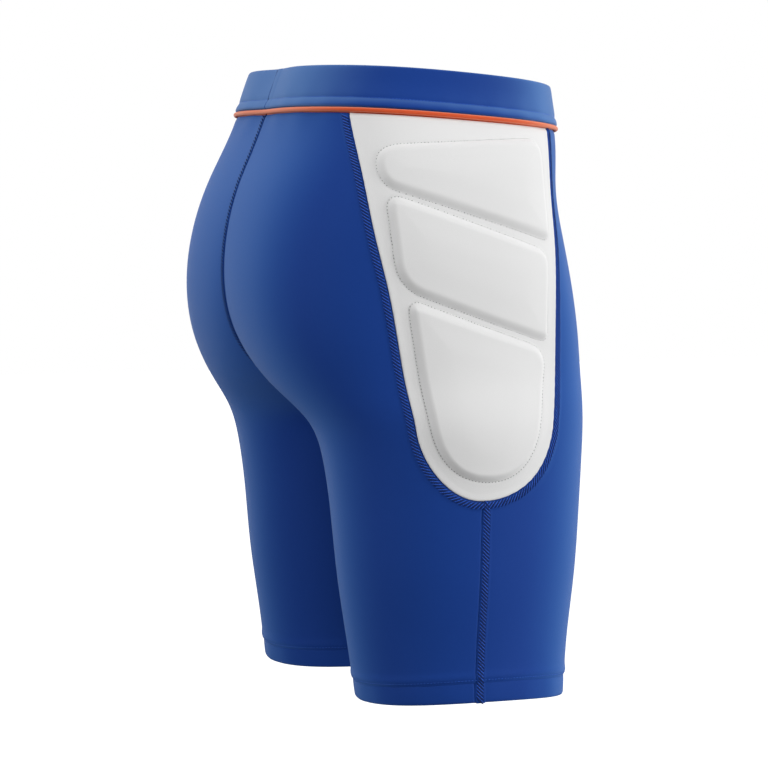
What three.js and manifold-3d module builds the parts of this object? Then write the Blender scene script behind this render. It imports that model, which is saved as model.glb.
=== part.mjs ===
// Padded sliding shorts, shown as worn: a knitted waistband, a piping, front and back panels for each leg,
// side panels moulded over three foam pads each, and a turned hem on each leg.
// Millimetres, +Z up. The wearer faces -Y, so the wearer's right is -X and the plane X = 0 mirrors the shorts.
// The origin is the middle of the waist, at half the waistband's height.
import * as THREE from "three";
import { mergeVertices } from "three/addons/utils/BufferGeometryUtils.js";
import Module from "manifold-3d";

// Overall sizes
const RISE = 250; // from the waist origin straight down to the crotch
const INSEAM = 214; // from the crotch straight down to the hem's edge
const WAIST = { width: 300, depth: 214 };
const HIP = { width: 360, depth: 258 };
const THIGH = { width: 191, depth: 214 };
const LEG_OPENING = { width: 150, depth: 163 };

// Cloth and foam
const CLOTH = 1.2; // knit of the front and back panels
const SIDE_CLOTH = 1.5; // knit that is moulded over the pads
const SEAM_GAP = 0.4; // between two pieces that are sewn edge to edge
const FIT_GAP = 0.3; // between any other two pieces that touch
const PAD_RISE = 5.5; // how far a pad lifts the cloth
const PAD_BEVEL = 8; // width of the slope at a pad's edge
const PAD_INSET = 5; // from a pad's stitched outline to its upright edge

// Waistband, piping and hems
const BAND_HEIGHT = 32;
const BAND_PROUD = 2.2; // how far the waistband stands out from the panels below it
const PIPING_HEIGHT = 3.4;
const PIPING_PROUD = 3.2; // how far the piping stands out from the panels
const HEM_HEIGHT = 15;
const HEM_THICKNESS = 2.2; // two layers of knit

// Side panels
const SIDE_PANEL_END = 306; // how far below the waist origin a side panel ends
const SIDE_PANEL_ROUND = 56; // height of its half-round end
const SIDE_SEAM_SHARE = 0.028; // the end's tip and the side seam behind the origin, as a share of the thigh's depth

// One oval per half of the body. `at` is a share of the rise, then 1 plus a share of the inseam.
// half, shift, back and front are shares of the girth's width or depth: half the oval's width, its centre's
// distance behind the origin, and its reach behind and before that centre.
// apart is the centre's distance from the midline as a share of half: the two ovals cross below 1 and part above it.
// square fills out the oval's corners. tilt and splay slope the section backwards and outwards. arch, a share of the
// depth too, lifts its sides and lowers its front and back.
const SECTIONS = [
  // at, girth, half, apart, shift, back, front, square, tilt, splay, arch
  [-0.07, WAIST, 0.499, 0.0, -0.004, 0.486, 0.501, 0.07, 0.079, -0.002, 0.002],
  [0.0, WAIST, 0.5, 0.0, 0.007, 0.498, 0.517, 0.085, 0.076, -0.003, 0.002],
  [0.12, WAIST, 0.498, 0.09, 0.023, 0.512, 0.518, 0.088, 0.065, -0.003, 0],
  [0.28, HIP, 0.409, 0.184, 0.043, 0.466, 0.433, 0.086, 0.053, 0, 0],
  [0.44, HIP, 0.392, 0.273, 0.047, 0.513, 0.451, 0.085, 0.033, 0, 0],
  [0.6, HIP, 0.369, 0.36, 0.04, 0.536, 0.469, 0.082, 0.002, 0, 0],
  [0.76, HIP, 0.335, 0.496, 0.022, 0.52, 0.466, 0.072, -0.032, 0, 0],
  [0.88, THIGH, 0.561, 0.711, 0.0, 0.574, 0.535, 0.048, -0.044, 0, 0],
  [1.0, THIGH, 0.5, 1.0, -0.026, 0.507, 0.496, 0.02, -0.02, 0, 0],
  [1.14, THIGH, 0.48, 1.094, -0.038, 0.476, 0.475, 0.008, -0.006, 0.01, 0],
  [1.33, THIGH, 0.467, 1.135, -0.045, 0.457, 0.457, 0.004, 0, 0.015, 0],
  [1.57, THIGH, 0.445, 1.204, -0.048, 0.437, 0.437, 0, 0, 0.025, 0],
  [1.8, LEG_OPENING, 0.527, 1.302, -0.072, 0.537, 0.528, 0, -0.004, 0.032, 0.018],
  [2.0, LEG_OPENING, 0.498, 1.4, -0.084, 0.512, 0.49, 0.02, 0.003, 0.028, 0.014],
].map(([at, girth, half, apart, shift, back, front, square, tilt, splay, arch]) => {
  return { at, girth, half, apart, shift, back, front, square, tilt, splay, arch };
});

// Where the side panel's long edges run, behind and before the origin, as shares of the girth's depth. `down` is a
// share of SIDE_PANEL_END. Beside the round end they go on as guides for the lowest pad.
const PANEL_EDGES = [
  { down: 0.0, girth: WAIST, back: 0.397, front: -0.346 },
  { down: 0.1, girth: WAIST, back: 0.41, front: -0.325 },
  { down: 0.23, girth: HIP, back: 0.339, front: -0.264 },
  { down: 0.36, girth: HIP, back: 0.322, front: -0.261 },
  { down: 0.49, girth: HIP, back: 0.287, front: -0.254 },
  { down: 0.62, girth: HIP, back: 0.256, front: -0.248 },
  { down: 0.72, girth: THIGH, back: 0.28, front: -0.289 },
  { down: 0.82, girth: THIGH, back: 0.253, front: -0.262 },
  { down: 1.0, girth: THIGH, back: 0.238, front: -0.247 },
];

// Corners of the pads' stitched outlines: across, from the panel's front edge to its back edge, and down, from its
// top to its end. round is the length in millimetres that a corner's curve takes off each side, up to half the side.
const PADS = [
  {
    name: "upper",
    corners: [
      { across: 0.935, down: 0.082, round: 20 },
      { across: 0.075, down: 0.03, round: 16 },
      { across: 0.052, down: 0.315, round: 8 },
      { across: 0.94, down: 0.188, round: 14 },
    ],
  },
  {
    name: "middle",
    corners: [
      { across: 0.925, down: 0.2, round: 16 },
      { across: 0.066, down: 0.34, round: 12 },
      { across: 0.065, down: 0.596, round: 10 },
      { across: 0.955, down: 0.437, round: 20 },
    ],
  },
  {
    name: "lower",
    corners: [
      { across: 0.915, down: 0.462, round: 14 },
      { across: 0.07, down: 0.612, round: 18 },
      { across: 0.168, down: 0.951, round: 47 },
      { across: 0.865, down: 0.951, round: 47 },
    ],
  },
];

// How finely the faces are cut
const LEG_COLUMNS = 10;
const SIDE_COLUMNS = 16;
const STRAIGHT_ROWS = 18; // rows of a side panel above its round end
const ROUND_ROWS = 8; // rows of the round end
const ROUND_STOP = 82; // degrees of the end's quarter turn before it is cut square
const LOWER_ROWS = 5; // rows of a leg below the side panel
const BAND_STEPS = 24; // stations on half of the waist
const HEM_STEPS = 32; // stations round a leg opening
const PAD_STEPS = 28; // stations round a pad
const PAD_RINGS = 3;
const ANGLE_STEP = 0.01; // radians, for a slope
const DROP_STEP = 0.5; // millimetres, for a slope

const bandTop = -BAND_HEIGHT / 2;
const bandBottom = bandTop + BAND_HEIGHT;
const pipingBottom = bandBottom + FIT_GAP + PIPING_HEIGHT;
const panelTop = pipingBottom + FIT_GAP;
const panelLength = SIDE_PANEL_END - panelTop;
const roundStart = SIDE_PANEL_END - SIDE_PANEL_ROUND;
const hemBottom = RISE + INSEAM;
const hemTop = hemBottom - HEM_HEIGHT;
const legEnd = hemTop - FIT_GAP;
const sideSeamY = SIDE_SEAM_SHARE * THIGH.depth;

// A smooth curve through the values, with no bend at its ends.
function naturalSpline(at, values) {
  const count = at.length;
  const bend = new Array(count).fill(0);
  const carry = new Array(count).fill(0);
  for (let i = 1; i < count - 1; i++) {
    const before = at[i] - at[i - 1];
    const after = at[i + 1] - at[i];
    const pull = 6 * ((values[i + 1] - values[i]) / after - (values[i] - values[i - 1]) / before);
    const pivot = 2 * (before + after) - before * carry[i - 1];
    carry[i] = after / pivot;
    bend[i] = (pull - before * bend[i - 1]) / pivot;
  }
  for (let i = count - 2; i > 0; i--) bend[i] -= carry[i] * bend[i + 1];
  return (x) => {
    let i = 0;
    while (i < count - 2 && x > at[i + 1]) i++;
    const span = at[i + 1] - at[i];
    const right = (x - at[i]) / span;
    const left = 1 - right;
    const curve = ((left ** 3 - left) * bend[i] + (right ** 3 - right) * bend[i + 1]) * (span ** 2 / 6);
    return left * values[i] + right * values[i + 1] + curve;
  };
}

// Drops are distances straight down from the waist origin.
const sectionDrops = SECTIONS.map(({ at }) => (at < 1 ? at * RISE : RISE + (at - 1) * INSEAM));
const edgeDrops = PANEL_EDGES.map(({ down }) => down * SIDE_PANEL_END);

const oval = {
  half: naturalSpline(sectionDrops, SECTIONS.map((row) => row.half * row.girth.width)),
  apart: naturalSpline(sectionDrops, SECTIONS.map((row) => row.apart)),
  shift: naturalSpline(sectionDrops, SECTIONS.map((row) => row.shift * row.girth.depth)),
  back: naturalSpline(sectionDrops, SECTIONS.map((row) => row.back * row.girth.depth)),
  front: naturalSpline(sectionDrops, SECTIONS.map((row) => row.front * row.girth.depth)),
  square: naturalSpline(sectionDrops, SECTIONS.map((row) => row.square)),
  tilt: naturalSpline(sectionDrops, SECTIONS.map((row) => row.tilt)),
  splay: naturalSpline(sectionDrops, SECTIONS.map((row) => row.splay)),
  arch: naturalSpline(sectionDrops, SECTIONS.map((row) => row.arch * row.girth.depth)),
};
const edge = {
  back: naturalSpline(edgeDrops, PANEL_EDGES.map((row) => row.back * row.girth.depth)),
  front: naturalSpline(edgeDrops, PANEL_EDGES.map((row) => row.front * row.girth.depth)),
};

// A point of the outer surface of the wearer's right half. Angle 0 is outermost, a quarter turn is the back,
// minus a quarter turn the front, and half a turn the inner thigh.
function surfacePoint(angle, drop) {
  const half = oval.half(drop);
  const back = oval.back(drop);
  const front = oval.front(drop);
  const swell = 1 + (oval.square(drop) * (1 - Math.cos(4 * angle))) / 2;
  const outward = half * swell * Math.cos(angle);
  const rearward = swell * Math.sin(angle);
  const y = oval.shift(drop) + ((back + front) / 2) * rearward + ((back - front) / 2) * rearward ** 2;
  const arch = oval.arch(drop) * (1 - 2 * rearward ** 2);
  const z = -drop + oval.tilt(drop) * y + oval.splay(drop) * outward + arch;
  return new THREE.Vector3(-half * oval.apart(drop) - outward, y, z);
}

function surfaceNormal(angle, drop) {
  const along = surfacePoint(angle + ANGLE_STEP, drop).sub(surfacePoint(angle - ANGLE_STEP, drop));
  const down = surfacePoint(angle, drop + DROP_STEP).sub(surfacePoint(angle, drop - DROP_STEP));
  return along.cross(down).normalize();
}

// A point off the outer surface: proud is positive outwards and negative inwards.
function clothPoint(angle, drop, proud) {
  return surfacePoint(angle, drop).addScaledVector(surfaceNormal(angle, drop), proud);
}

// The value between low and high at which a rising function reaches the target.
function solve(rising, target, low, high) {
  for (let i = 0; i < 40; i++) {
    const middle = (low + high) / 2;
    if (rising(middle) < target) low = middle;
    else high = middle;
  }
  return (low + high) / 2;
}

// The angle at which the right half comes within clear of the midline, or the inseam where it doesn't.
function midlineAngle(drop, clear) {
  const inseam = Math.PI - clear / oval.back(drop);
  const crossing = solve((angle) => surfacePoint(angle, drop).x, -clear, Math.PI / 2, Math.PI);
  return Math.min(inseam, crossing);
}

function sideAngle(y, drop) {
  return solve((angle) => surfacePoint(angle, drop).y, y, -Math.PI / 2, Math.PI / 2);
}

// The side panel's rows from the top down, grown by a margin: each has its drop and its two edges' places.
function panelRows(margin) {
  const rows = [];
  for (let i = 0; i < STRAIGHT_ROWS; i++) {
    const drop = panelTop + ((roundStart - panelTop) * i) / STRAIGHT_ROWS;
    rows.push({ drop, back: edge.back(drop) + margin, front: edge.front(drop) - margin });
  }
  const centre = (edge.back(roundStart) + edge.front(roundStart)) / 2;
  for (let i = 0; i <= ROUND_ROWS; i++) {
    const turn = THREE.MathUtils.degToRad((ROUND_STOP * i) / ROUND_ROWS);
    const middle = THREE.MathUtils.lerp(centre, sideSeamY, Math.sin(turn) ** 2);
    const drop = roundStart + (SIDE_PANEL_ROUND + margin) * Math.sin(turn);
    const backReach = (edge.back(drop) + margin - middle) * Math.cos(turn);
    const frontReach = (middle - edge.front(drop) + margin) * Math.cos(turn);
    rows.push({ drop, back: middle + backReach, front: middle - frontReach });
  }
  return rows;
}

// A leg's rows from the waist to the hem, where toward is 1 for the back panel and -1 for the front panel.
function legRows(toward) {
  const key = toward > 0 ? "back" : "front";
  const besidePanel = panelRows(SEAM_GAP / 2).map((row) => ({ drop: row.drop, edge: row[key] }));
  const seamY = sideSeamY + (toward * SEAM_GAP) / 2;
  const start = SIDE_PANEL_END + SEAM_GAP / 2;
  const below = [];
  for (let i = 0; i <= LOWER_ROWS; i++) {
    below.push({ drop: THREE.MathUtils.lerp(start, legEnd, i / LOWER_ROWS), edge: seamY });
  }
  return [...besidePanel, ...below];
}

function geometryOf(points, triangles) {
  const geometry = new THREE.BufferGeometry();
  geometry.setFromPoints(points);
  geometry.setIndex(triangles.flat());
  return geometry;
}

// A closed sheet between two grids of points. Rows run down and columns run backwards round the right half.
function sheetGeometry(outer, inner) {
  const rows = outer.length;
  const columns = outer[0].length;
  const points = [...outer.flat(), ...inner.flat()];
  const out = (r, c) => r * columns + c;
  const back = (r, c) => rows * columns + r * columns + c;
  const triangles = [];
  const quad = (a, b, c, d) => triangles.push([a, b, c], [a, c, d]);
  for (let r = 0; r < rows - 1; r++) {
    for (let c = 0; c < columns - 1; c++) {
      quad(out(r, c), out(r, c + 1), out(r + 1, c + 1), out(r + 1, c));
      quad(back(r, c), back(r + 1, c), back(r + 1, c + 1), back(r, c + 1));
    }
    quad(out(r, 0), out(r + 1, 0), back(r + 1, 0), back(r, 0));
    quad(out(r, columns - 1), back(r, columns - 1), back(r + 1, columns - 1), out(r + 1, columns - 1));
  }
  for (let c = 0; c < columns - 1; c++) {
    quad(out(0, c), back(0, c), back(0, c + 1), out(0, c + 1));
    quad(out(rows - 1, c), out(rows - 1, c + 1), back(rows - 1, c + 1), back(rows - 1, c));
  }
  return geometryOf(points, triangles);
}

// A front or back panel: one leg's knit from the side panel or side seam to the midline or inseam.
function legPanel(toward) {
  const grid = (proud) =>
    legRows(toward).map((row) => {
      const side = sideAngle(row.edge, row.drop);
      const middle = toward * midlineAngle(row.drop, SEAM_GAP / 2);
      const [first, last] = toward > 0 ? [side, middle] : [middle, side];
      return Array.from({ length: LEG_COLUMNS + 1 }, (_, c) =>
        clothPoint(THREE.MathUtils.lerp(first, last, c / LEG_COLUMNS), row.drop, proud),
      );
    });
  return sheetGeometry(grid(0), grid(-CLOTH));
}

// A pad's stitched outline, in millimetres behind the origin and below it.
function padOutline(pad) {
  const corners = pad.corners.map(({ across, down, round }) => {
    const drop = panelTop + down * panelLength;
    const y = THREE.MathUtils.lerp(edge.front(drop), edge.back(drop), across);
    return { at: new THREE.Vector2(y, drop), round };
  });
  const outline = new THREE.Path();
  corners.forEach(({ at, round }, i) => {
    const towards = (corner) => at.clone().lerp(corner.at, Math.min(round / at.distanceTo(corner.at), 0.5));
    const start = towards(corners[(i + corners.length - 1) % corners.length]);
    const end = towards(corners[(i + 1) % corners.length]);
    if (i === 0) outline.moveTo(start.x, start.y);
    else outline.lineTo(start.x, start.y);
    outline.quadraticCurveTo(at.x, at.y, end.x, end.y);
  });
  outline.closePath();
  return outline.getSpacedPoints(PAD_STEPS).slice(0, PAD_STEPS);
}

// How deep a place lies inside an outline, or minus its distance from it.
function depthInside(outline, place) {
  let nearest = Infinity;
  let inside = false;
  outline.forEach((a, i) => {
    const b = outline[(i + 1) % outline.length];
    const along = b.clone().sub(a);
    const share = THREE.MathUtils.clamp(place.clone().sub(a).dot(along) / along.lengthSq(), 0, 1);
    nearest = Math.min(nearest, place.distanceTo(a.clone().addScaledVector(along, share)));
    const crosses = a.y > place.y !== b.y > place.y;
    if (crosses && place.x < a.x + ((place.y - a.y) / along.y) * along.x) inside = !inside;
  });
  return inside ? nearest : -nearest;
}

const outlines = PADS.map(padOutline);

// How far the pads lift the side cloth at a place.
function padLift(place) {
  const depth = Math.max(...outlines.map((outline) => depthInside(outline, place)));
  return PAD_RISE * THREE.MathUtils.smoothstep(depth, 0, PAD_BEVEL);
}

// A sheet over the side panel, from one distance off the lifted cloth to another.
function sideSheet(outerProud, innerProud) {
  const grid = (proud) =>
    panelRows(-SEAM_GAP / 2).map((row) =>
      Array.from({ length: SIDE_COLUMNS + 1 }, (_, c) => {
        const y = THREE.MathUtils.lerp(row.front, row.back, c / SIDE_COLUMNS);
        const lift = padLift(new THREE.Vector2(y, row.drop));
        return clothPoint(sideAngle(y, row.drop), row.drop, lift + proud);
      }),
    );
  return sheetGeometry(grid(outerProud), grid(innerProud));
}

// A pad's block, flush with the cloth's inner face and upright at its edge, before the cloth's room is cut away.
function padBlock(outline) {
  const centre = outline.reduce((sum, p) => sum.add(p), new THREE.Vector2()).divideScalar(outline.length);
  const edgeOf = outline.map((p) => p.clone().sub(centre).setLength(p.distanceTo(centre) - PAD_INSET).add(centre));
  const points = [];
  const layer = (proud) => {
    const start = points.length;
    points.push(clothPoint(sideAngle(centre.x, centre.y), centre.y, proud));
    for (let ring = 1; ring <= PAD_RINGS; ring++) {
      for (const rim of edgeOf) {
        const place = centre.clone().lerp(rim, ring / PAD_RINGS);
        points.push(clothPoint(sideAngle(place.x, place.y), place.y, proud));
      }
    }
    return (ring, step) => (ring === 0 ? start : start + 1 + (ring - 1) * PAD_STEPS + (step % PAD_STEPS));
  };
  const top = layer(PAD_RISE + SIDE_CLOTH);
  const bottom = layer(-SIDE_CLOTH);
  const triangles = [];
  const bothSides = (a, b, c) => {
    triangles.push([top(...a), top(...b), top(...c)], [bottom(...c), bottom(...b), bottom(...a)]);
  };
  for (let i = 0; i < PAD_STEPS; i++) {
    bothSides([0, 0], [1, i + 1], [1, i]);
    for (let ring = 1; ring < PAD_RINGS; ring++) {
      bothSides([ring, i], [ring, i + 1], [ring + 1, i + 1]);
      bothSides([ring, i], [ring + 1, i + 1], [ring + 1, i]);
    }
    const [a, b] = [top(PAD_RINGS, i), top(PAD_RINGS, i + 1)];
    const [c, d] = [bottom(PAD_RINGS, i + 1), bottom(PAD_RINGS, i)];
    triangles.push([a, b, c], [a, c, d]);
  }
  return geometryOf(points, triangles);
}

const wasm = await Module();
wasm.setup();

function solidOf(geometry) {
  const merged = mergeVertices(geometry, 1e-4);
  const mesh = new wasm.Mesh({
    numProp: 3,
    vertProperties: merged.attributes.position.array,
    triVerts: new Uint32Array(merged.index.array),
  });
  const solid = new wasm.Manifold(mesh);
  return solid;
}

function geometryOfSolid(solid) {
  const mesh = solid.getMesh();
  const geometry = new THREE.BufferGeometry();
  geometry.setAttribute("position", new THREE.BufferAttribute(mesh.vertProperties, 3));
  geometry.setIndex(new THREE.BufferAttribute(mesh.triVerts, 1));
  return geometry;
}

// The room that the side cloth and its clearance take above the pads.
const clothRoom = solidOf(sideSheet(PAD_RISE * 2, -SIDE_CLOTH - FIT_GAP));

function padGeometry(outline) {
  return geometryOfSolid(solidOf(padBlock(outline)).subtract(clothRoom));
}

// A closed ring: a profile of drops and prouds carried round a loop of stations.
function ringGeometry(profile, stations, pointAt) {
  const count = profile.length;
  const points = [];
  for (let s = 0; s < stations; s++) {
    for (const corner of profile) points.push(pointAt(s / stations, corner.drop, corner.proud));
  }
  const triangles = [];
  for (let s = 0; s < stations; s++) {
    const next = (s + 1) % stations;
    for (let i = 0; i < count; i++) {
      const j = (i + 1) % count;
      const [a, b, c, d] = [s * count + i, next * count + i, next * count + j, s * count + j];
      triangles.push([a, b, c], [a, c, d]);
    }
  }
  return geometryOf(points, triangles);
}

// Round the waist, from the front's middle past the wearer's right to the back's middle and on past the left.
function waistPoint(share, drop, proud) {
  const right = share <= 0.5;
  const angle = midlineAngle(drop, 0) * (right ? 4 * share - 1 : 3 - 4 * share);
  const point = surfacePoint(angle, drop);
  const normal = surfaceNormal(angle, drop);
  if (share === 0 || share === 0.5) {
    point.x = 0;
    normal.setX(0).normalize();
  }
  point.addScaledVector(normal, proud);
  return right ? point : point.multiply(new THREE.Vector3(-1, 1, 1));
}

function legPoint(share, drop, proud) {
  return clothPoint(Math.PI * (2 * share - 1), drop, proud);
}

const bandProfile = [
  { drop: bandTop, proud: -CLOTH },
  { drop: bandTop, proud: 0 },
  { drop: bandTop + BAND_PROUD, proud: BAND_PROUD },
  { drop: bandBottom - BAND_PROUD / 2, proud: BAND_PROUD },
  { drop: bandBottom, proud: BAND_PROUD / 2 },
  { drop: bandBottom, proud: -CLOTH },
];

// The piping's bead, with its tape between the waistband and the panels.
const beadMiddle = pipingBottom - PIPING_HEIGHT / 2;
const pipingProfile = [
  { drop: pipingBottom - PIPING_HEIGHT, proud: -CLOTH },
  { drop: pipingBottom - PIPING_HEIGHT, proud: PIPING_PROUD - PIPING_HEIGHT / 2 },
  { drop: beadMiddle - PIPING_HEIGHT / 3, proud: PIPING_PROUD - PIPING_HEIGHT / 6 },
  { drop: beadMiddle, proud: PIPING_PROUD },
  { drop: beadMiddle + PIPING_HEIGHT / 3, proud: PIPING_PROUD - PIPING_HEIGHT / 6 },
  { drop: pipingBottom, proud: PIPING_PROUD - PIPING_HEIGHT / 2 },
  { drop: pipingBottom, proud: -CLOTH },
];

const hemProfile = [
  { drop: hemTop, proud: -HEM_THICKNESS },
  { drop: hemTop, proud: 0 },
  { drop: hemBottom, proud: 0 },
  { drop: hemBottom, proud: -HEM_THICKNESS },
];

const blueKnit = { color: 0x1f4690, roughness: 0.7, metalness: 0 };
const whiteKnit = { color: 0xe4e4e2, roughness: 0.65, metalness: 0 };
const orangeKnit = { color: 0xdb5a35, roughness: 0.6, metalness: 0 };
const paleFoam = { color: 0xd8d8d4, roughness: 0.9, metalness: 0 };

function meshOf(name, geometry, finish) {
  const mesh = new THREE.Mesh(geometry, new THREE.MeshStandardMaterial(finish));
  mesh.name = name;
  return mesh;
}

// The pieces of one half. The geometry is the wearer's right half, and a mirrored group places it on the left.
const backPanel = legPanel(1);
const frontPanel = legPanel(-1);
const sidePanel = sideSheet(0, -SIDE_CLOTH);
const pads = outlines.map(padGeometry);
const hem = ringGeometry(hemProfile, HEM_STEPS, legPoint);

function halfGroup(side) {
  const half = new THREE.Group();
  half.add(
    meshOf(`back_panel_${side}`, backPanel, blueKnit),
    meshOf(`front_panel_${side}`, frontPanel, blueKnit),
    meshOf(`side_panel_${side}`, sidePanel, whiteKnit),
    ...PADS.map((pad, i) => meshOf(`hip_pad_${pad.name}_${side}`, pads[i], paleFoam)),
    meshOf(`leg_hem_${side}`, hem, blueKnit),
  );
  return half;
}

const shorts = new THREE.Group();
shorts.add(
  meshOf("waistband", ringGeometry(bandProfile, 2 * BAND_STEPS, waistPoint), blueKnit),
  meshOf("waist_piping", ringGeometry(pipingProfile, 2 * BAND_STEPS, waistPoint), orangeKnit),
);
const rightHalf = halfGroup("right");
const leftHalf = halfGroup("left");
leftHalf.scale.x = -1;
shorts.add(rightHalf, leftHalf);

export default shorts;
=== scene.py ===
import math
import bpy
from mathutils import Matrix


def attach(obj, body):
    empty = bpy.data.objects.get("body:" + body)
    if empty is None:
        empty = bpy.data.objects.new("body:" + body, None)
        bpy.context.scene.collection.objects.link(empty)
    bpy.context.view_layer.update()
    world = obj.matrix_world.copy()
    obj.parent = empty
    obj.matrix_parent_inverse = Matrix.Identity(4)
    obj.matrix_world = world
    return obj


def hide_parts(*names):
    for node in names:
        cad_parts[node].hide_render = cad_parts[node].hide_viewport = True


bl_info = {
    "name": "Sliding Shorts",
    "version": (1, 0, 0),
    "blender": (4, 5, 0),
    "location": "3D View > Sidebar > Shorts",
    "description": "Knitted sliding shorts with moulded side panels, foam pads, seams and a studio",
    "category": "Object",
}

import bmesh
import bpy
import numpy as np
from mathutils import Vector

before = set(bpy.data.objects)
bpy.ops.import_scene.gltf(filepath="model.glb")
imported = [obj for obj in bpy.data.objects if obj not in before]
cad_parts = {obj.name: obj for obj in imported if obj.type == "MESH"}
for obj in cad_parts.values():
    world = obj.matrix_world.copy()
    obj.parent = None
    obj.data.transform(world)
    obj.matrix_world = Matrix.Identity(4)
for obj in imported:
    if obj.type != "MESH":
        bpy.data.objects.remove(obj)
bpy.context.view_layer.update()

MM = 0.001
BODY = "root"
RIGHT, LEFT = "right", "left"
SIDES = {RIGHT: 1.0, LEFT: -1.0}
BACK, FRONT = 1.0, -1.0

# One oval per half of the body. at is a share of the rise, then 1 plus a share of the inseam. half, shift, back and
# front are shares of the girth's width or depth, apart is the oval's distance from the midline as a share of half.
SECTION_COLUMNS = ("at", "girth", "half", "apart", "shift", "back", "front", "square", "tilt", "splay", "arch")
SECTIONS = (
    (-0.07, "waist", 0.499, 0.0, -0.004, 0.486, 0.501, 0.07, 0.079, -0.002, 0.002),
    (0.0, "waist", 0.5, 0.0, 0.007, 0.498, 0.517, 0.085, 0.076, -0.003, 0.002),
    (0.12, "waist", 0.498, 0.09, 0.023, 0.512, 0.518, 0.088, 0.065, -0.003, 0.0),
    (0.28, "hip", 0.409, 0.184, 0.043, 0.466, 0.433, 0.086, 0.053, 0.0, 0.0),
    (0.44, "hip", 0.392, 0.273, 0.047, 0.513, 0.451, 0.085, 0.033, 0.0, 0.0),
    (0.6, "hip", 0.369, 0.36, 0.04, 0.536, 0.469, 0.082, 0.002, 0.0, 0.0),
    (0.76, "hip", 0.335, 0.496, 0.022, 0.52, 0.466, 0.072, -0.032, 0.0, 0.0),
    (0.88, "thigh", 0.561, 0.711, 0.0, 0.574, 0.535, 0.048, -0.044, 0.0, 0.0),
    (1.0, "thigh", 0.5, 1.0, -0.026, 0.507, 0.496, 0.02, -0.02, 0.0, 0.0),
    (1.14, "thigh", 0.48, 1.094, -0.038, 0.476, 0.475, 0.008, -0.006, 0.01, 0.0),
    (1.33, "thigh", 0.467, 1.135, -0.045, 0.457, 0.457, 0.004, 0.0, 0.015, 0.0),
    (1.57, "thigh", 0.445, 1.204, -0.048, 0.437, 0.437, 0.0, 0.0, 0.025, 0.0),
    (1.8, "opening", 0.527, 1.302, -0.072, 0.537, 0.528, 0.0, -0.004, 0.032, 0.018),
    (2.0, "opening", 0.498, 1.4, -0.084, 0.512, 0.49, 0.02, 0.003, 0.028, 0.014),
)

# The side panel's long edges behind and before the origin, as shares of the girth's depth. down is a share of the
# panel's lower end.
EDGE_COLUMNS = ("down", "girth", "back", "front")
PANEL_EDGES = (
    (0.0, "waist", 0.397, -0.346),
    (0.1, "waist", 0.41, -0.325),
    (0.23, "hip", 0.339, -0.264),
    (0.36, "hip", 0.322, -0.261),
    (0.49, "hip", 0.287, -0.254),
    (0.62, "hip", 0.256, -0.248),
    (0.72, "thigh", 0.28, -0.289),
    (0.82, "thigh", 0.253, -0.262),
    (1.0, "thigh", 0.238, -0.247),
)

# Corners of the pads' stitched outlines: across the panel from front to back, down it from top to end, and the length
# in millimetres that the corner's curve takes off each side.
PADS = {
    "upper": ((0.935, 0.082, 20), (0.075, 0.03, 16), (0.052, 0.315, 8), (0.94, 0.188, 14)),
    "middle": ((0.925, 0.2, 16), (0.066, 0.34, 12), (0.065, 0.596, 10), (0.955, 0.437, 20)),
    "lower": ((0.915, 0.462, 14), (0.07, 0.612, 18), (0.168, 0.951, 47), (0.865, 0.951, 47)),
}

# From the waistband's lower edge up to its stitched fold
FOLD_HEIGHT = 7.4 * MM

# How far the waistband's back sags at its join, and how far to each side
WAIST_DIP = 0.7 * MM
WAIST_DIP_REACH = 36 * MM

# How far the small of the back hollows the waistband's top, and how far to each side
HOLLOW = 6.0 * MM
HOLLOW_REACH = 36 * MM

# Distances from a seam, in millimetres, at which the cloth has a line of points
SIDE_SEAM_LINES = (0.0, 0.35, 0.7, 1.05, 1.5, 2.2, 3.2, 4.3, 5.3, 6.0, 6.5, 7.0, 7.6, 8.6, 10.5)
CENTRE_SEAM_LINES = (0.0, 0.35, 0.7, 1.1, 1.6, 2.3, 3.2, 4.4, 6.0, 8.0, 10.5)
LIP_LINES = (0.0, 0.2, 0.4, 0.65, 0.95, 1.3, 1.8, 2.5)


# A leg panel's rows in millimetres, closer together where the cloth bends: beside the crotch, below the side panel's
# end and above the hem
CROTCH_ROWS = (0.15, 0.4, 0.8, 1.4, 2.1, 3.0, 4.1, 5.5, 7.2, 9.2)
PANEL_END_ROWS = (0.3, 0.7, 1.1, 1.6, 2.3, 3.2, 4.3, 5.3, 6.0, 6.5, 7.0, 7.8, 9.0, 11.0)
HEM_ROWS = (10, 9, 8, 7.2, 6.4, 5.6, 4.9, 4.2, 3.5, 2.8, 2.1, 1.5, 1.0, 0.6, 0.3, 0.03)

# Sections of the doubled waistband and of a turned hem, from the outside's top down and up again inside: the edge that
# a point is measured from, and in millimetres how far below it and how far off the panels' surface the point lies
BAND_SECTION = (
    *(("top", 0.05, 0.15), ("top", 0.35, 0.62), ("top", 1.0, 0.95), ("top", 2.2, 1.15), ("top", 5.0, 1.3)),
    *(("top", 10.0, 1.4), ("top", 16.0, 1.5), ("fold", -3.4, 1.6), ("fold", -1.6, 1.5), ("fold", -0.7, 1.3)),
    *(("fold", 0.0, 1.08), ("fold", 0.7, 1.35), ("fold", 1.6, 1.75), ("fold", 3.4, 2.3), ("bottom", -2.0, 2.5)),
    *(("bottom", -0.9, 2.2), ("bottom", -0.4, 1.0), ("bottom", -0.1, 0.2), ("bottom", -0.1, -1.1)),
    *(("bottom", -8.0, -1.2), ("top", 12.0, -1.2), ("top", 2.2, -1.15), ("top", 0.8, -0.9), ("top", 0.15, -0.4)),
)
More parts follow.
